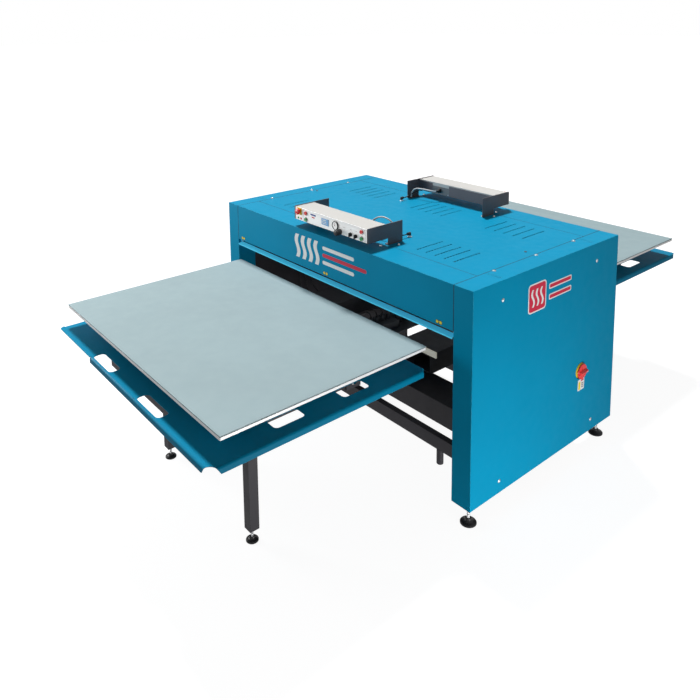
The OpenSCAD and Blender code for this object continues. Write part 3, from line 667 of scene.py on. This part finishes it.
SIDE_SCREW_Y, SIDE_SCREW_Z = 0.41, (0.173, 1.093)
TOP_SCREW_X, TOP_SCREW_Y = 0.9375, 0.345
TRIP_HINGE = Vector((0.9135, 0.603, 0.95))
TRIP_WASHER_X = 0.9265
HOOD_BADGE_X, HOOD_BADGE_Z = -0.02, 1.083
SIDE_BADGE_Y, SIDE_BADGE_Z, SIDE_BADGE_MARK = -0.01, 1.035, -0.125
TAG_X, TAG_GAP, TAG_Z = (-0.87, -0.01, 0.84), 0.0105, 0.981
PLUGS = ((0.872, 0.002), (-0.895, 0.015))
SLOT_X, SLOT_Y, SLOT_SIZE = 0.981, 0.4, Vector((0.073, 0.015, 0))
# Lift of the dark strips that paint the shade in the panel gaps.
SEAM_SHADOW_LIFT = 0.15 * MM
SWITCH_Y, SWITCH_Z = 0.286, 0.503


def make_screws():
    """Socket screws in the casings and the cover, and the trip bars' shoulder screws."""
    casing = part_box("right_casing")[1]
    bm = bmesh.new()
    for sx in (-1, 1):
        for sy in (-1, 1):
            for z in SIDE_SCREW_Z:
                add_screw(bm, (sx * casing.x, sy * SIDE_SCREW_Y, z), RIGHT * sx, 7.5, 4.5)
            add_screw(bm, (sx * TOP_SCREW_X, sy * TOP_SCREW_Y, casing.z), UP, 7.5, 5.5)
            hinge = Vector((sx, sy, 1)) * TRIP_HINGE
            add_screw(bm, hinge, RIGHT * -sx, 6, 3)
            add_turned(bm, rod(4, 0, 19), hinge, RIGHT * sx, steps=24)
            add_turned(bm, mm([(4, 0), (8, 0), (8, 3), (4, 3)]), (sx * TRIP_WASHER_X, hinge.y, hinge.z),
                       RIGHT * sx, steps=24)
        add_screw(bm, (sx * TOP_SCREW_X, 0, casing.z), UP, 7.5, 5.5)
    piece("casing_screw_heads", bm, ["zinc"], "frame", ["casing_screws"])


def make_badges():
    """Plain badges of heat waves and bars in place of lettering."""
    bm = bmesh.new()
    place = (HOOD_BADGE_X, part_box("front_hood")[0].y, HOOD_BADGE_Z)
    for k in range(4):
        add_plate(bm, wavy(0.14, 0.032, 0.012, (-0.25 + 0.06 * k, 0)), 0.5 * MM, place, RIGHT, UP, m=0)
    for z, long, m in ((0.042, 0.27, 0), (0.0, 0.37, 1), (-0.042, 0.27, 0)):
        add_plate(bm, rounded(long, 0.021, 0.01, (long / 2 - 0.015, z)), 0.5 * MM, place, RIGHT, UP, m=m)
    place, across = (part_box("right_casing")[1].x, SIDE_BADGE_Y, SIDE_BADGE_Z), Vector((0, 1, 0))
    for size, corner, thick, m in ((0.15, 0.02, 0.4, 0), (0.136, 0.015, 0.8, 1)):
        add_plate(bm, rounded(size, size, corner, (SIDE_BADGE_MARK, 0)), thick * MM, place, across, UP, m=m)
    for k in (-1, 0, 1):
        wave = wavy(0.09, 0.014, 0.009, (SIDE_BADGE_MARK + 0.037 * k, 0))
        add_plate(bm, wave, 1.1 * MM, place, across, UP, m=0)
    for z in (-0.028, 0.028):
        add_plate(bm, rounded(0.2, 0.03, 0.008, (0.075, z)), 0.4 * MM, place, across, UP, m=0)
        add_plate(bm, rounded(0.188, 0.018, 0.005, (0.075, z)), 0.8 * MM, place, across, UP, m=1)
    piece("badges", bm, ["print_white", "print_red"], "frame")


def make_tags(name):
    """Pairs of plain yellow tags along the lower edge of a hood."""
    place = (0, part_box("front_hood")[0].y, 0)
    bm = bmesh.new()
    for x in TAG_X:
        for step in (-TAG_GAP, TAG_GAP):
            for size, thick, m in ((0.018, 0.3, 0), (0.0145, 0.6, 1)):
                tag = rounded(size, size, 0.003, (x + step, TAG_Z))
                add_plate(bm, tag, thick * MM, place, RIGHT, UP, m=m)
    piece(f"{name}_hood_tags", bm, ["print_black", "print_yellow"], "frame", turn=TURNS[name])


def make_plugs():
    """Black plugs in the cover, and the blue plugs that close the slots in the casings' tops."""
    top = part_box("top_cover")[1].z
    bm = bmesh.new()
    plug = mm([(0, -1), (5.5, -1), (5.5, 0), (8, 0), (8, 1.2), (6, 2.2), (0, 2.6)])
    for x, y in PLUGS:
        add_turned(bm, plug, (x, y, top), UP, steps=32)
    piece("cover_plugs", bm, ["black_plastic"], "frame")
    bm = bmesh.new()
    half = SLOT_SIZE / 2 - Vector((1.4 * MM, 1.4 * MM, 0))
    for sx, sy in CORNERS:
        centre = Vector((sx * SLOT_X, sy * SLOT_Y, top))
        add_block(bm, centre - half - UP * 2 * MM, centre + half - UP * 0.2 * MM, 0.5 * MM)
    piece("slot_plugs", bm, ["case_paint"], "frame")


def make_seams():
    """Dark strips over the gaps where the hoods, the cover and the casings meet: painted shade of the gaps.
    """
    hood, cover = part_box("front_hood")[0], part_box("top_cover")[1]
    low, high = cover.z - 1 * MM, cover.z + SEAM_SHADOW_LIFT
    x, half = cover.x + 1.25 * MM, 2 * MM
    bm = bmesh.new()
    for sx in (-1, 1):
        left, right = sx * x - half, sx * x + half
        add_block(bm, (left, hood.y - SEAM_SHADOW_LIFT, low), (right, SEAM_SHADOW_LIFT - hood.y, high))
        for face in (hood.y, -hood.y):
            add_block(bm, (left, face - SEAM_SHADOW_LIFT, hood.z), (right, face + SEAM_SHADOW_LIFT, high))
    for sy in (-1, 1):
        seam = sy * (cover.y + 0.5 * MM)
        add_block(bm, (-x, seam - 1.4 * MM, low), (x, seam + 1.4 * MM, high))
    piece("seam_lines", bm, ["seam"], "frame")


def make_switch_dial(place, across):
    """Yellow ring of the main switch, with two dark marks."""
    bm = bmesh.new()
    ring = [(8.6, 1), (8.6, 7), (30, 7), (43.5, 7), (44.6, 6.2), (45.4, 4), (45.4, 0), (8.6, 0), (8.6, 1)]
    add_turned(bm, mm(ring), place, RIGHT, steps=72)
    for middle in (52, 232):
        start, end = math.radians(middle - 17), math.radians(middle + 17)
        add_plate(bm, mm(arc(45.6, start, end, 8) + arc(40, end, start, 8)), 7.6 * MM, place, across, UP, m=1)
    piece("main_switch_dial", bm, ["switch_yellow", "print_black"], "frame", ["main_switch_plate"])


def make_switch_label(place, across):
    """Plain label below the main switch."""
    bm = bmesh.new()
    add_plate(bm, rounded(0.062, 0.062, 0.004, (0.012, -0.083)), 0.4 * MM, place, across, UP, m=0)
    prints = [(0.019, 0.046, 0.004, (-0.004, -0.087), 1), (0.028, 0.009, 0.002, (0.023, -0.06), 2)]
    prints += [(0.022, 0.004, 0.001, (0.025, -0.077 - 0.011 * k), 3) for k in range(3)]
    for width, height, corner, centre, m in prints:
        add_plate(bm, rounded(width, height, corner, centre), 0.8 * MM, place, across, UP, m=m)
    piece("main_switch_label", bm, ["print_white", "print_yellow", "print_red", "print_black"], "frame")


def make_switch_handle(place):
    """Red disc with a bar handle, whose ends lean in, and a white pointer line."""
    x, y, z = place
    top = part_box("main_switch_knob")[1].x
    bm = bmesh.new()
    disc = [(0, 1.5), (8, 1.5), (8, 9.5), (40, 9.5), (42, 10.5), (42, 13), (40.5, 15), (36, 15.5), (0, 15.5)]
    add_turned(bm, mm(disc), place, RIGHT, steps=64)
    foot, shoulder = x + 14 * MM, top - 2 * MM
    section = [(z - 9 * MM, foot), (z + 9 * MM, foot), (z + 5.5 * MM, shoulder), (z + 3.5 * MM, top),
               (z - 3.5 * MM, top), (z - 5.5 * MM, shoulder)]
    ends = []
    for s in (-1, 1):
        ends.append([bm.verts.new((b, y + s * (38 if b == foot else 33) * MM, a)) for a, b in section])
    bm.faces.new(ends[0])
    bm.faces.new(ends[1][::-1])
    join_rings(bm, *ends)
    mark(bm, 0)
    add_block(bm, (top - 0.2 * MM, y + 14 * MM, z - 1 * MM), (top + 0.3 * MM, y + 30 * MM, z + 1 * MM), m=1)
    piece("main_switch_handle", bm, ["red_plastic", "print_white"], "main_switch", ["main_switch_knob"])


def make_main_switch():
    """Rotary main switch on the right casing, with its label."""
    place, across = (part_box("right_casing")[1].x, SWITCH_Y, SWITCH_Z), (0, 1, 0)
    make_switch_dial(place, across)
    make_switch_label(place, across)
    make_switch_handle(place)


make_screws()
make_badges()
make_plugs()
make_seams()
make_main_switch()
for side in TURNS:
    make_tags(side)

# ---- feet and posts ----

# Place of a foot, then its sizes in millimetres.
FEET = (
    (0.987, 0.57, dict(r=40, base=28, top=98, stud=8, pitch=2.0, nut=14, nut_low=97, nut_high=110)),
    (0.413, 1.427, dict(r=30, base=22, top=54, stud=6, pitch=1.75, nut=10.5, nut_low=53, nut_high=62)),
)
POST_X, POST_Y, POST_Z = 0.615, 0.355, 0.0215


def add_foot(pads, studs, place, r, base, top, stud, pitch, nut, nut_low, nut_high):
    """Levelling foot: domed base with a raised ring, threaded stud, lock nut and washer."""
    dome = [(0, 0), (r - 1, 0), (r, 1), (r, 6), (r - 2, 8.5), (0.74 * r, 0.42 * base),
            (0.5 * r, 0.62 * base), (0.4 * r, 0.8 * base), (0.36 * r, base), (0, base)]
    add_turned(pads, mm(dome), place, UP, steps=48)
    add_turned(pads, mm([(r - 4, 5), (r - 4, 9), (r - 7, 10.5), (r - 9, 8)]), place, UP, steps=48)
    thread, z = [(0, base - 2), (stud, base - 2)], base
    while z < top:
        thread += [(stud, z), (stud - 0.75, z + pitch / 2)]
        z += pitch
    thread += [(stud, z), (stud, top + 3), (0, top + 3)]
    add_turned(studs, mm(thread), place, UP, steps=20)
    flat = 0.88 * nut
    hexagon = [(0, nut_low), (flat, nut_low), (nut, nut_low + 1.2), (nut, nut_high - 1.2), (flat, nut_high),
               (0, nut_high)]
    add_turned(studs, mm(hexagon), place, UP, steps=6)
    add_turned(studs, rod(1.15 * nut, nut_high - 2, nut_high), place, UP, steps=32)


def make_feet():
    """Levelling feet of the body and of the outriggers."""
    pads, studs = bmesh.new(), bmesh.new()
    for sx, sy in CORNERS:
        for x, y, sizes in FEET:
            add_foot(pads, studs, (sx * x, sy * y, 0), **sizes)
    piece("foot_bases", pads, ["black_plastic"], "frame", ["foot_pads"])
    piece("foot_threads", studs, ["zinc"], "frame", ["foot_studs"])


def make_post_sleeves():
    """Sleeves that thicken the short posts under the low stretchers."""
    sleeve = mm([(0, -0.5), (12, 0), (16, 0), (18.5, 2), (19, 5), (19, 86), (12.5, 87), (0, 87)])
    bm = bmesh.new()
    for sx, sy in CORNERS:
        add_turned(bm, sleeve, (sx * POST_X, sy * POST_Y, POST_Z), UP, steps=32)
    piece("post_sleeves", bm, ["frame_paint"], "frame")


make_feet()
make_post_sleeves()

# ---- consoles ----

# The front console's places. The rear one is turned from it, and has fewer parts.
FACE_Y, BACK_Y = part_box("console_fascias")[0].y, -0.464
ROW_TOP, ROW_LOW = 1.284, 1.247
STOP_X, BUTTONS_X = -0.276, (-0.212, 0.274)
RED_LAMP_X, GREEN_LAMP_X, LAMP_Z = -0.262, -0.287, 1.243
# Lines beside the buttons: place, and which way and how far their ends turn in.
BRACKETS = ((-0.243, 0.004), (0.301, -0.004))
BLOCKS_X, CAPTION_X, CAPTION_Z = -0.146, 0.129, 1.276
DISPLAY, GAUGE, KNOB = (-0.035, 1.2705), (0.057, 1.272), (0.099, 1.246)
SELECTORS, SELECTOR_Z = {"left": 0.186, "right": 0.229}, 1.25
LINE = 1.2 * MM
PLUG, GROMMET, LEAD_CRESTS = Vector((0.132, BACK_Y, 1.256)), (0.302, -0.366), (1.314, 1.262)
ELBOW = (0.293, -0.262)
FOOT_BOLTS = ((0.306, 0.497), (0.356, 0.411), (0.303, 0.362))

# What the display and the gauge are made of, and the index of each look.
INSTRUMENT_LOOKS = ["screen", "cable_grey", "print_white", "black_plastic", "fascia_white", "print_red"]
SCREEN, SURROUND, BARS, BLACK, DIAL, NEEDLE = range(6)


def on_fascia(x, z, out=0.0):
    """Place on the front fascia, or out in front of it."""
    return (x, FACE_Y - out, z)


def make_fascia_print(name):
    """Printed foil, bezels and collar of one fascia."""
    looks = ["print_black", "print_yellow", "print_red", "green_plastic", "cable_grey", "print_blue"]
    black, yellow, red, green, grey, blue = range(6)
    bm = bmesh.new()

    def printed(width, height, corner, x, z, m, thick=0.3):
        add_plate(bm, rounded(width, height, corner, (x, z)), thick * MM, on_fascia(0, 0), RIGHT, UP, m=m)

    printed(0.046, 0.042, 0.003, STOP_X, ROW_TOP, yellow, 0.6)
    printed(0.014, 0.012, 0.002, GREEN_LAMP_X, LAMP_Z, green, 0.8)
    printed(0.014, 0.012, 0.002, RED_LAMP_X, LAMP_Z, red, 0.8)
    printed(0.61, LINE, 0.0005, 0, 1.298, grey)
    for x, turn_in in BRACKETS:
        printed(LINE, 0.062, 0.0005, x, 1.265, black)
        for z in (1.2345, 1.2955):
            printed(0.009, LINE, 0.0005, x + turn_in, z, black)
    if name == "front":
        printed(0.05, 0.009, 0.002, BLOCKS_X, 1.287, blue)
        printed(0.028, 0.007, 0.002, BLOCKS_X, 1.272, red)
        for x in (CAPTION_X, *SELECTORS.values()):
            printed(0.016, 0.003, 0.001, x, CAPTION_Z, grey)
    bezel = mm([(11.4, 0), (13.8, 0), (13.8, 1.6), (13, 2.6), (11.4, 2.6), (11.4, 0)])
    for x in BUTTONS_X:
        for z in (ROW_TOP, ROW_LOW):
            add_turned(bm, bezel, on_fascia(x, z), FRONT, steps=40, m=grey)
    collar = mm([(18.6, 0), (20.6, 0), (20.6, 2.4), (19.8, 3.4), (18.6, 3.4), (18.6, 0)])
    add_turned(bm, collar, on_fascia(STOP_X, ROW_TOP), FRONT, steps=40, m=yellow)
    piece(f"{name}_fascia_print", bm, looks, "frame", turn=TURNS[name])


def make_display(bm):
    """Framed screen with a few plain bars."""
    (x, z), width, height = DISPLAY, 0.06, 0.034
    reach, rise = width / 2 + 3 * MM, height / 2 + 2.5 * MM
    add_block(bm, (x - reach, FACE_Y - 2.5 * MM, z - rise), (x + reach, FACE_Y, z + rise), 1 * MM, m=SURROUND)
    add_plate(bm, rounded(width, height, 0.001), 0.4 * MM, on_fascia(x, z, 2.4 * MM), RIGHT, UP, m=SCREEN)
    for row, bars in ((0.009, (0.034,)), (0.0, (0.012, 0.018)), (-0.009, (0.022, 0.01))):
        start = x - 0.024
        for bar in bars:
            outline = rounded(bar, 0.0045, 0.0008, (start + bar / 2, z + row))
            add_plate(bm, outline, 0.3 * MM, on_fascia(0, 0, 2.8 * MM), RIGHT, UP, m=BARS)
            start += bar + 0.006


def tilted(angle):
    """Directions along and across a line on the dial, at an angle in degrees."""
    a = math.radians(angle)
    return Vector((math.cos(a), 0, math.sin(a))), Vector((-math.sin(a), 0, math.cos(a)))


def make_gauge(bm):
    """Pressure gauge: black bezel, white dial with plain ticks, red needle."""
    bezel = [(21, 0), (25, 0), (25, 6), (24, 8), (21.5, 8), (21, 5.5), (0, 5.5)]
    add_turned(bm, mm(bezel), on_fascia(*GAUGE), FRONT, steps=56, m=BLACK)
    centre = Vector(on_fascia(*GAUGE, 5.6 * MM))
    add_turned(bm, rod(21, 0, 0.3), centre, FRONT, steps=48, m=DIAL)
    for k in range(13):
        start = 15.5 if k % 3 else 13.5
        tick = mm([(start, -0.5), (18.5, -0.5), (18.5, 0.5), (start, 0.5)])
        add_plate(bm, tick, 0.2 * MM, centre + FRONT * 0.3 * MM, *tilted(225 - 22.5 * k), m=BLACK)
    needle = mm([(-5, -1.1), (15, -0.4), (15, 0.4), (-5, 1.1)])
    add_plate(bm, needle, 0.4 * MM, centre + FRONT * 0.8 * MM, *tilted(120), m=NEEDLE)
    add_turned(bm, mm([(0, 0), (2.4, 0), (2.4, 1.6), (0, 2)]), centre, FRONT, steps=20, m=BLACK)


def make_instruments():
    """Both displays and the gauge. The rear display is made in front and turned before the rest is made."""
    bm = bmesh.new()
    make_display(bm)
    bmesh.ops.transform(bm, matrix=TURNS["rear"], verts=bm.verts)
    make_display(bm)
    make_gauge(bm)
    piece("console_dials", bm, INSTRUMENT_LOOKS, "frame", ["console_instruments"])


def make_buttons(name):
    """Emergency stop head and the two pairs of round buttons of one console."""
    bm = bmesh.new()
    head = [(0, -20), (11, -20), (11, 8), (13, 10), (17.4, 12), (18, 14), (18, 19), (16.5, 22), (12, 23.6),
            (0, 24)]
    add_turned(bm, mm(head), on_fascia(STOP_X, ROW_TOP), FRONT, steps=48)
    for k in range(3):
        start = 2 * math.pi * k / 3
        end = start + 0.96
        stripe = mm(arc(12, start, end, 8) + arc(9.5, end, start, 8))
        add_plate(bm, stripe, 0.4 * MM, on_fascia(STOP_X, ROW_TOP, 23.6 * MM), RIGHT, UP, m=1)
    piece(f"{name}_estop_head", bm, ["red_plastic", "print_white"], f"{name}_stop_head", [f"{name}_estop"],
          TURNS[name])
    cap = mm([(0, -12), (8, -12), (8, 4), (10.6, 4.6), (11, 5.6), (11, 8), (10, 9), (8.5, 8.6), (0, 8.2)])
    for kind, z, look in (("start", ROW_LOW, "green_plastic"), ("stop", ROW_TOP, "red_plastic")):
        bm = bmesh.new()
        for x in BUTTONS_X:
            add_turned(bm, cap, on_fascia(x, z), FRONT, steps=40)
        piece(f"{name}_{kind}_caps", bm, [look], f"{name}_{kind}", [f"{name}_{kind}_buttons"], TURNS[name])


def make_backs():
    """Dark connector plates on the consoles' backs, each with a bright screw, and a screw on each top."""
    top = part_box("console_boxes")[1].z
    bm = bmesh.new()
    for _ in TURNS:
        # All that is there is turned each time, so the first set ends in front and the second at the rear.
        plate = rounded(0.148, 0.052, 0.004, (-0.1235, 1.257))
        add_plate(bm, plate, 1.2 * MM, (0, BACK_Y, 0), -RIGHT, UP, m=0)
        add_screw(bm, (0.06, BACK_Y + 1 * MM, 1.238), -FRONT, 3, 2, m=1)
        add_screw(bm, (-0.05, BACK_Y - 8 * MM, top), UP, 3.5, 3, m=1)
        bmesh.ops.transform(bm, matrix=TURNS["rear"], verts=bm.verts)
    piece("connector_plates", bm, ["connector_grey", "zinc"], "frame")


def make_knobs():
    """Fluted regulator knob and the two selector switches."""
    bm = bmesh.new()
    add_turned(bm, rod(6, -14, 2), on_fascia(*KNOB), FRONT, steps=24)
    knob = [(0, 2), (14.5, 2), (16, 3), (16, 10), (15, 11), (16.6, 12.5), (17, 14), (17, 36), (15.6, 38.8),
            (13, 40), (0, 40)]
    add_turned(bm, mm(knob), on_fascia(*KNOB), FRONT, steps=96, lobes=16, flute=1.1 * MM)
    pointer = rounded(0.0016, 0.009, 0.0004, (0, 0.007))
    add_plate(bm, pointer, 0.3 * MM, on_fascia(*KNOB, 40 * MM), RIGHT, UP, m=1)
    looks = ["black_plastic", "print_white"]
    piece("regulator_hand_knob", bm, looks, "regulator_knob", ["pressure_knob"])
    base = mm([(0, -12), (5, -12), (5, 1), (10.4, 1), (11, 1.8), (11, 8), (10, 9), (0, 9)])
    for name, x in SELECTORS.items():
        bm = bmesh.new()
        middle = Vector(on_fascia(x, SELECTOR_Z))
        add_turned(bm, base, middle, FRONT, steps=40)
        add_block(bm, middle + Vector((-3.5, -19, -11)) * MM, middle + Vector((3.5, -8, 11)) * MM, 1.8 * MM)
        add_block(bm, middle + Vector((-0.7, -19.3, 1)) * MM, middle + Vector((0.7, -18.8, 8.5)) * MM, m=1)
        piece(f"{name}_selector_grip", bm, looks, f"{name}_switch", [f"{name}_selector"])


def make_leads():
    """Console leads: knurled plug, cable over its crest, and grommet in the cover."""
    end = Vector((*GROMMET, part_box("top_cover")[1].z))
    start, along = PLUG - FRONT * 14 * MM, Vector((0.062, 0.008, 0))
    plug = mm([(0, 0), (15, 0), (15, 4), (12.5, 4.5), (12.5, 6), (14, 7), (14, 14), (12, 15)])
    relief = mm([(9, 0), (9, 6), (7.5, 8), (6.4, 16), (5.4, 24), (4.6, 24)])
    grommet = mm([(4.6, 0), (10, 0), (10, 2.4), (8.5, 3.4), (7, 6), (4.6, 6)])
    bm = bmesh.new()
    for crest in LEAD_CRESTS:
        # As in make_backs(), the first lead ends in front and the second at the rear.
        top = Vector((0.222, -0.396, crest))
        rise = [start, start - FRONT * 0.042, top - along, top]
        fall = [top, top + along, end + UP * 0.07, end]
        route = [bezier(rise, i / 24) for i in range(24)] + [bezier(fall, i / 24) for i in range(25)]
        add_sweep(bm, route, 4.5 * MM, sides=16, m=0)
        add_turned(bm, plug, PLUG, -FRONT, steps=48, m=1, lobes=16, flute=0.5 * MM)
        add_turned(bm, relief, start, -FRONT, steps=24, m=1)
        add_turned(bm, grommet, end, UP, steps=32, m=1)
        bmesh.ops.transform(bm, matrix=TURNS["rear"], verts=bm.verts)
    piece("console_leads", bm, ["cable_grey", "black_plastic"], "frame", ["console_harness"])


def make_air_elbows():
    """Air elbows on the cover, each with its hose to the back of a console."""
    bm = bmesh.new()
    for sign in (1, -1):
        base = Vector((sign * ELBOW[0], sign * ELBOW[1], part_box("top_cover")[1].z))
        away, arm = FRONT * sign, base + UP * 19 * MM
        add_turned(bm, mm([(0, 0), (9, 0), (9, 7), (8, 8), (0, 8)]), base, UP, steps=6, m=1)
        add_turned(bm, rod(13, 0, 1.5), base, UP, steps=32, m=1)
        add_turned(bm, mm([(0, 8), (8, 8), (8, 22), (6.5, 26), (0, 27)]), base, UP, steps=28)
        outline = [(0, 0), (7.5, 0), (7.5, 12), (8.5, 13), (8.5, 17), (0, 18)]
        add_turned(bm, mm(outline), arm, away, steps=28)
        route = mm([(18, 0), (48, 0), (93, 12), (136, 20), (168, 22), (202.5, 20)])
        add_sweep(bm, curve_through([arm + away * a + UP * b for a, b in route]), 3 * MM, sides=12)
    piece("air_elbows", bm, ["black_plastic", "zinc"], "frame")


def make_console_bolts():
    """Bolts of the consoles' feet. Where a lead's grommet sits, the third one is left out."""
    bm = bmesh.new()
    for sx, sy in CORNERS:
        for x, y in FOOT_BOLTS if sx == sy else FOOT_BOLTS[:2]:
            add_screw(bm, (sx * x, sy * y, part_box("top_cover")[1].z), UP, 6, 9)
    piece("console_bolts", bm, ["zinc"], "frame")


for side in TURNS:
    make_fascia_print(side)
    make_buttons(side)
make_backs()
make_instruments()
make_knobs()
make_leads()
make_air_elbows()
make_console_bolts()

# ---- inside the body ----

BAGS_X, BAGS_Y = (-0.6, 0, 0.6), (-0.25, 0.25)
SPRINGS = ((0.45, -0.172), (-0.45, -0.172), (0.45, 0.172), (-0.45, 0.172))
SPRING_TURNS, SPRING_STEPS, SPRING_RADIUS, SPRING_WIRE = 11, 20, 12 * MM, 2 * MM
VALVE_X, HOSES_Y, HOSE_GAP = -0.18, (-0.125, -0.075, -0.025), 0.016
DUCT = ((-0.88, 0.305, 0.184), (-0.3, 0.333, 0.362))


def make_bags():
    """Two-lobed air bags, which stretch between the beams and the pressure plate."""
    low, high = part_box("air_bags")
    height, rim = high.z - low.z, 0.004
    lobe_height = (height - 2 * rim) / 2
    outline = [(0, 0), (0.05, 0), (0.052, rim)]
    for lobe in range(2):
        base = rim + lobe * lobe_height
        for k in range(1, 12):
            bulge = 0.011 * math.sin(math.pi * k / 12)
            outline.append((0.072 + bulge, base + lobe_height * k / 12))
        if lobe == 0:
            outline.append((0.069, height / 2))
    outline += [(0.052, height - rim), (0.05, height), (0, height)]
    bm = bmesh.new()
    for x in BAGS_X:
        for y in BAGS_Y:
            add_turned(bm, outline, (x, y, low.z), UP, steps=40)
    bags = piece("air_bag_bellows", bm, ["bag_rubber"], "platen", ["air_bags"])
    bags.parent = None
    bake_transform(bags)


def make_springs():
    """Coil springs, which stretch between the beams and the pressure plate."""
    low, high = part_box("return_springs")
    steps = SPRING_TURNS * SPRING_STEPS
    rise = (high.z - low.z - 2 * SPRING_WIRE) / steps
    bm = bmesh.new()
    for x, y in SPRINGS:
        coil = []
        for i in range(steps + 1):
            a = 2 * math.pi * i / SPRING_STEPS
            coil.append((x + SPRING_RADIUS * math.cos(a), y + SPRING_RADIUS * math.sin(a),
                         low.z + SPRING_WIRE + rise * i))
        add_sweep(bm, coil, SPRING_WIRE, sides=8)
    springs = piece("return_spring_coils", bm, ["spring_steel"], "platen", ["return_springs"])
    springs.parent = None
    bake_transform(springs)


def make_hoses():
    """Air hoses from the valve block along the lower beam and up the left side frame."""
    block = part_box("pneumatic_unit")[1].z
    wall = -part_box("lower_beams")[1].x
    collar = mm([(0, 0), (7, 0), (7, 9), (5.5, 11), (0, 11)])
    bm = bmesh.new()
    for k, y in enumerate(HOSES_Y):
        up = k * HOSE_GAP
        top, roof = block - 0.01, 1.14 - up / 3
        route = [(VALVE_X, y, top - 0.008), (VALVE_X, y, top + 0.02), (-0.21, y, top + 0.038),
                 (-0.27, y, top + 0.012), (-0.33, y, 0.455 + up), (-0.45, y, 0.42 + up), (-0.7, y, 0.42 + up),
                 (wall + 0.06, y, 0.44 + up), (wall + 0.022, y - 0.01, 0.52 + up),
                 (wall + 0.02, y - 0.02, 0.8), (wall + 0.02, y - 0.02, 1.04), (wall + 0.05, y - 0.02, 1.125),
                 (wall + 0.14, y - 0.01, roof), (-0.72, -0.14 + up, roof)]
        add_sweep(bm, curve_through(route), 4 * MM, sides=12, m=0)
        add_turned(bm, collar, (VALVE_X, y, block - 0.002), UP, steps=24, m=1)
    piece("air_hoses", bm, ["hose_black", "black_plastic"], "frame")


def make_duct():
    """Closed cable duct under the rear lower beam."""
    bm = bmesh.new()
    add_block(bm, *DUCT, 3 * MM)
    piece("cable_duct", bm, ["frame_paint"], "frame")


make_bags()
make_springs()
make_hoses()
make_duct()
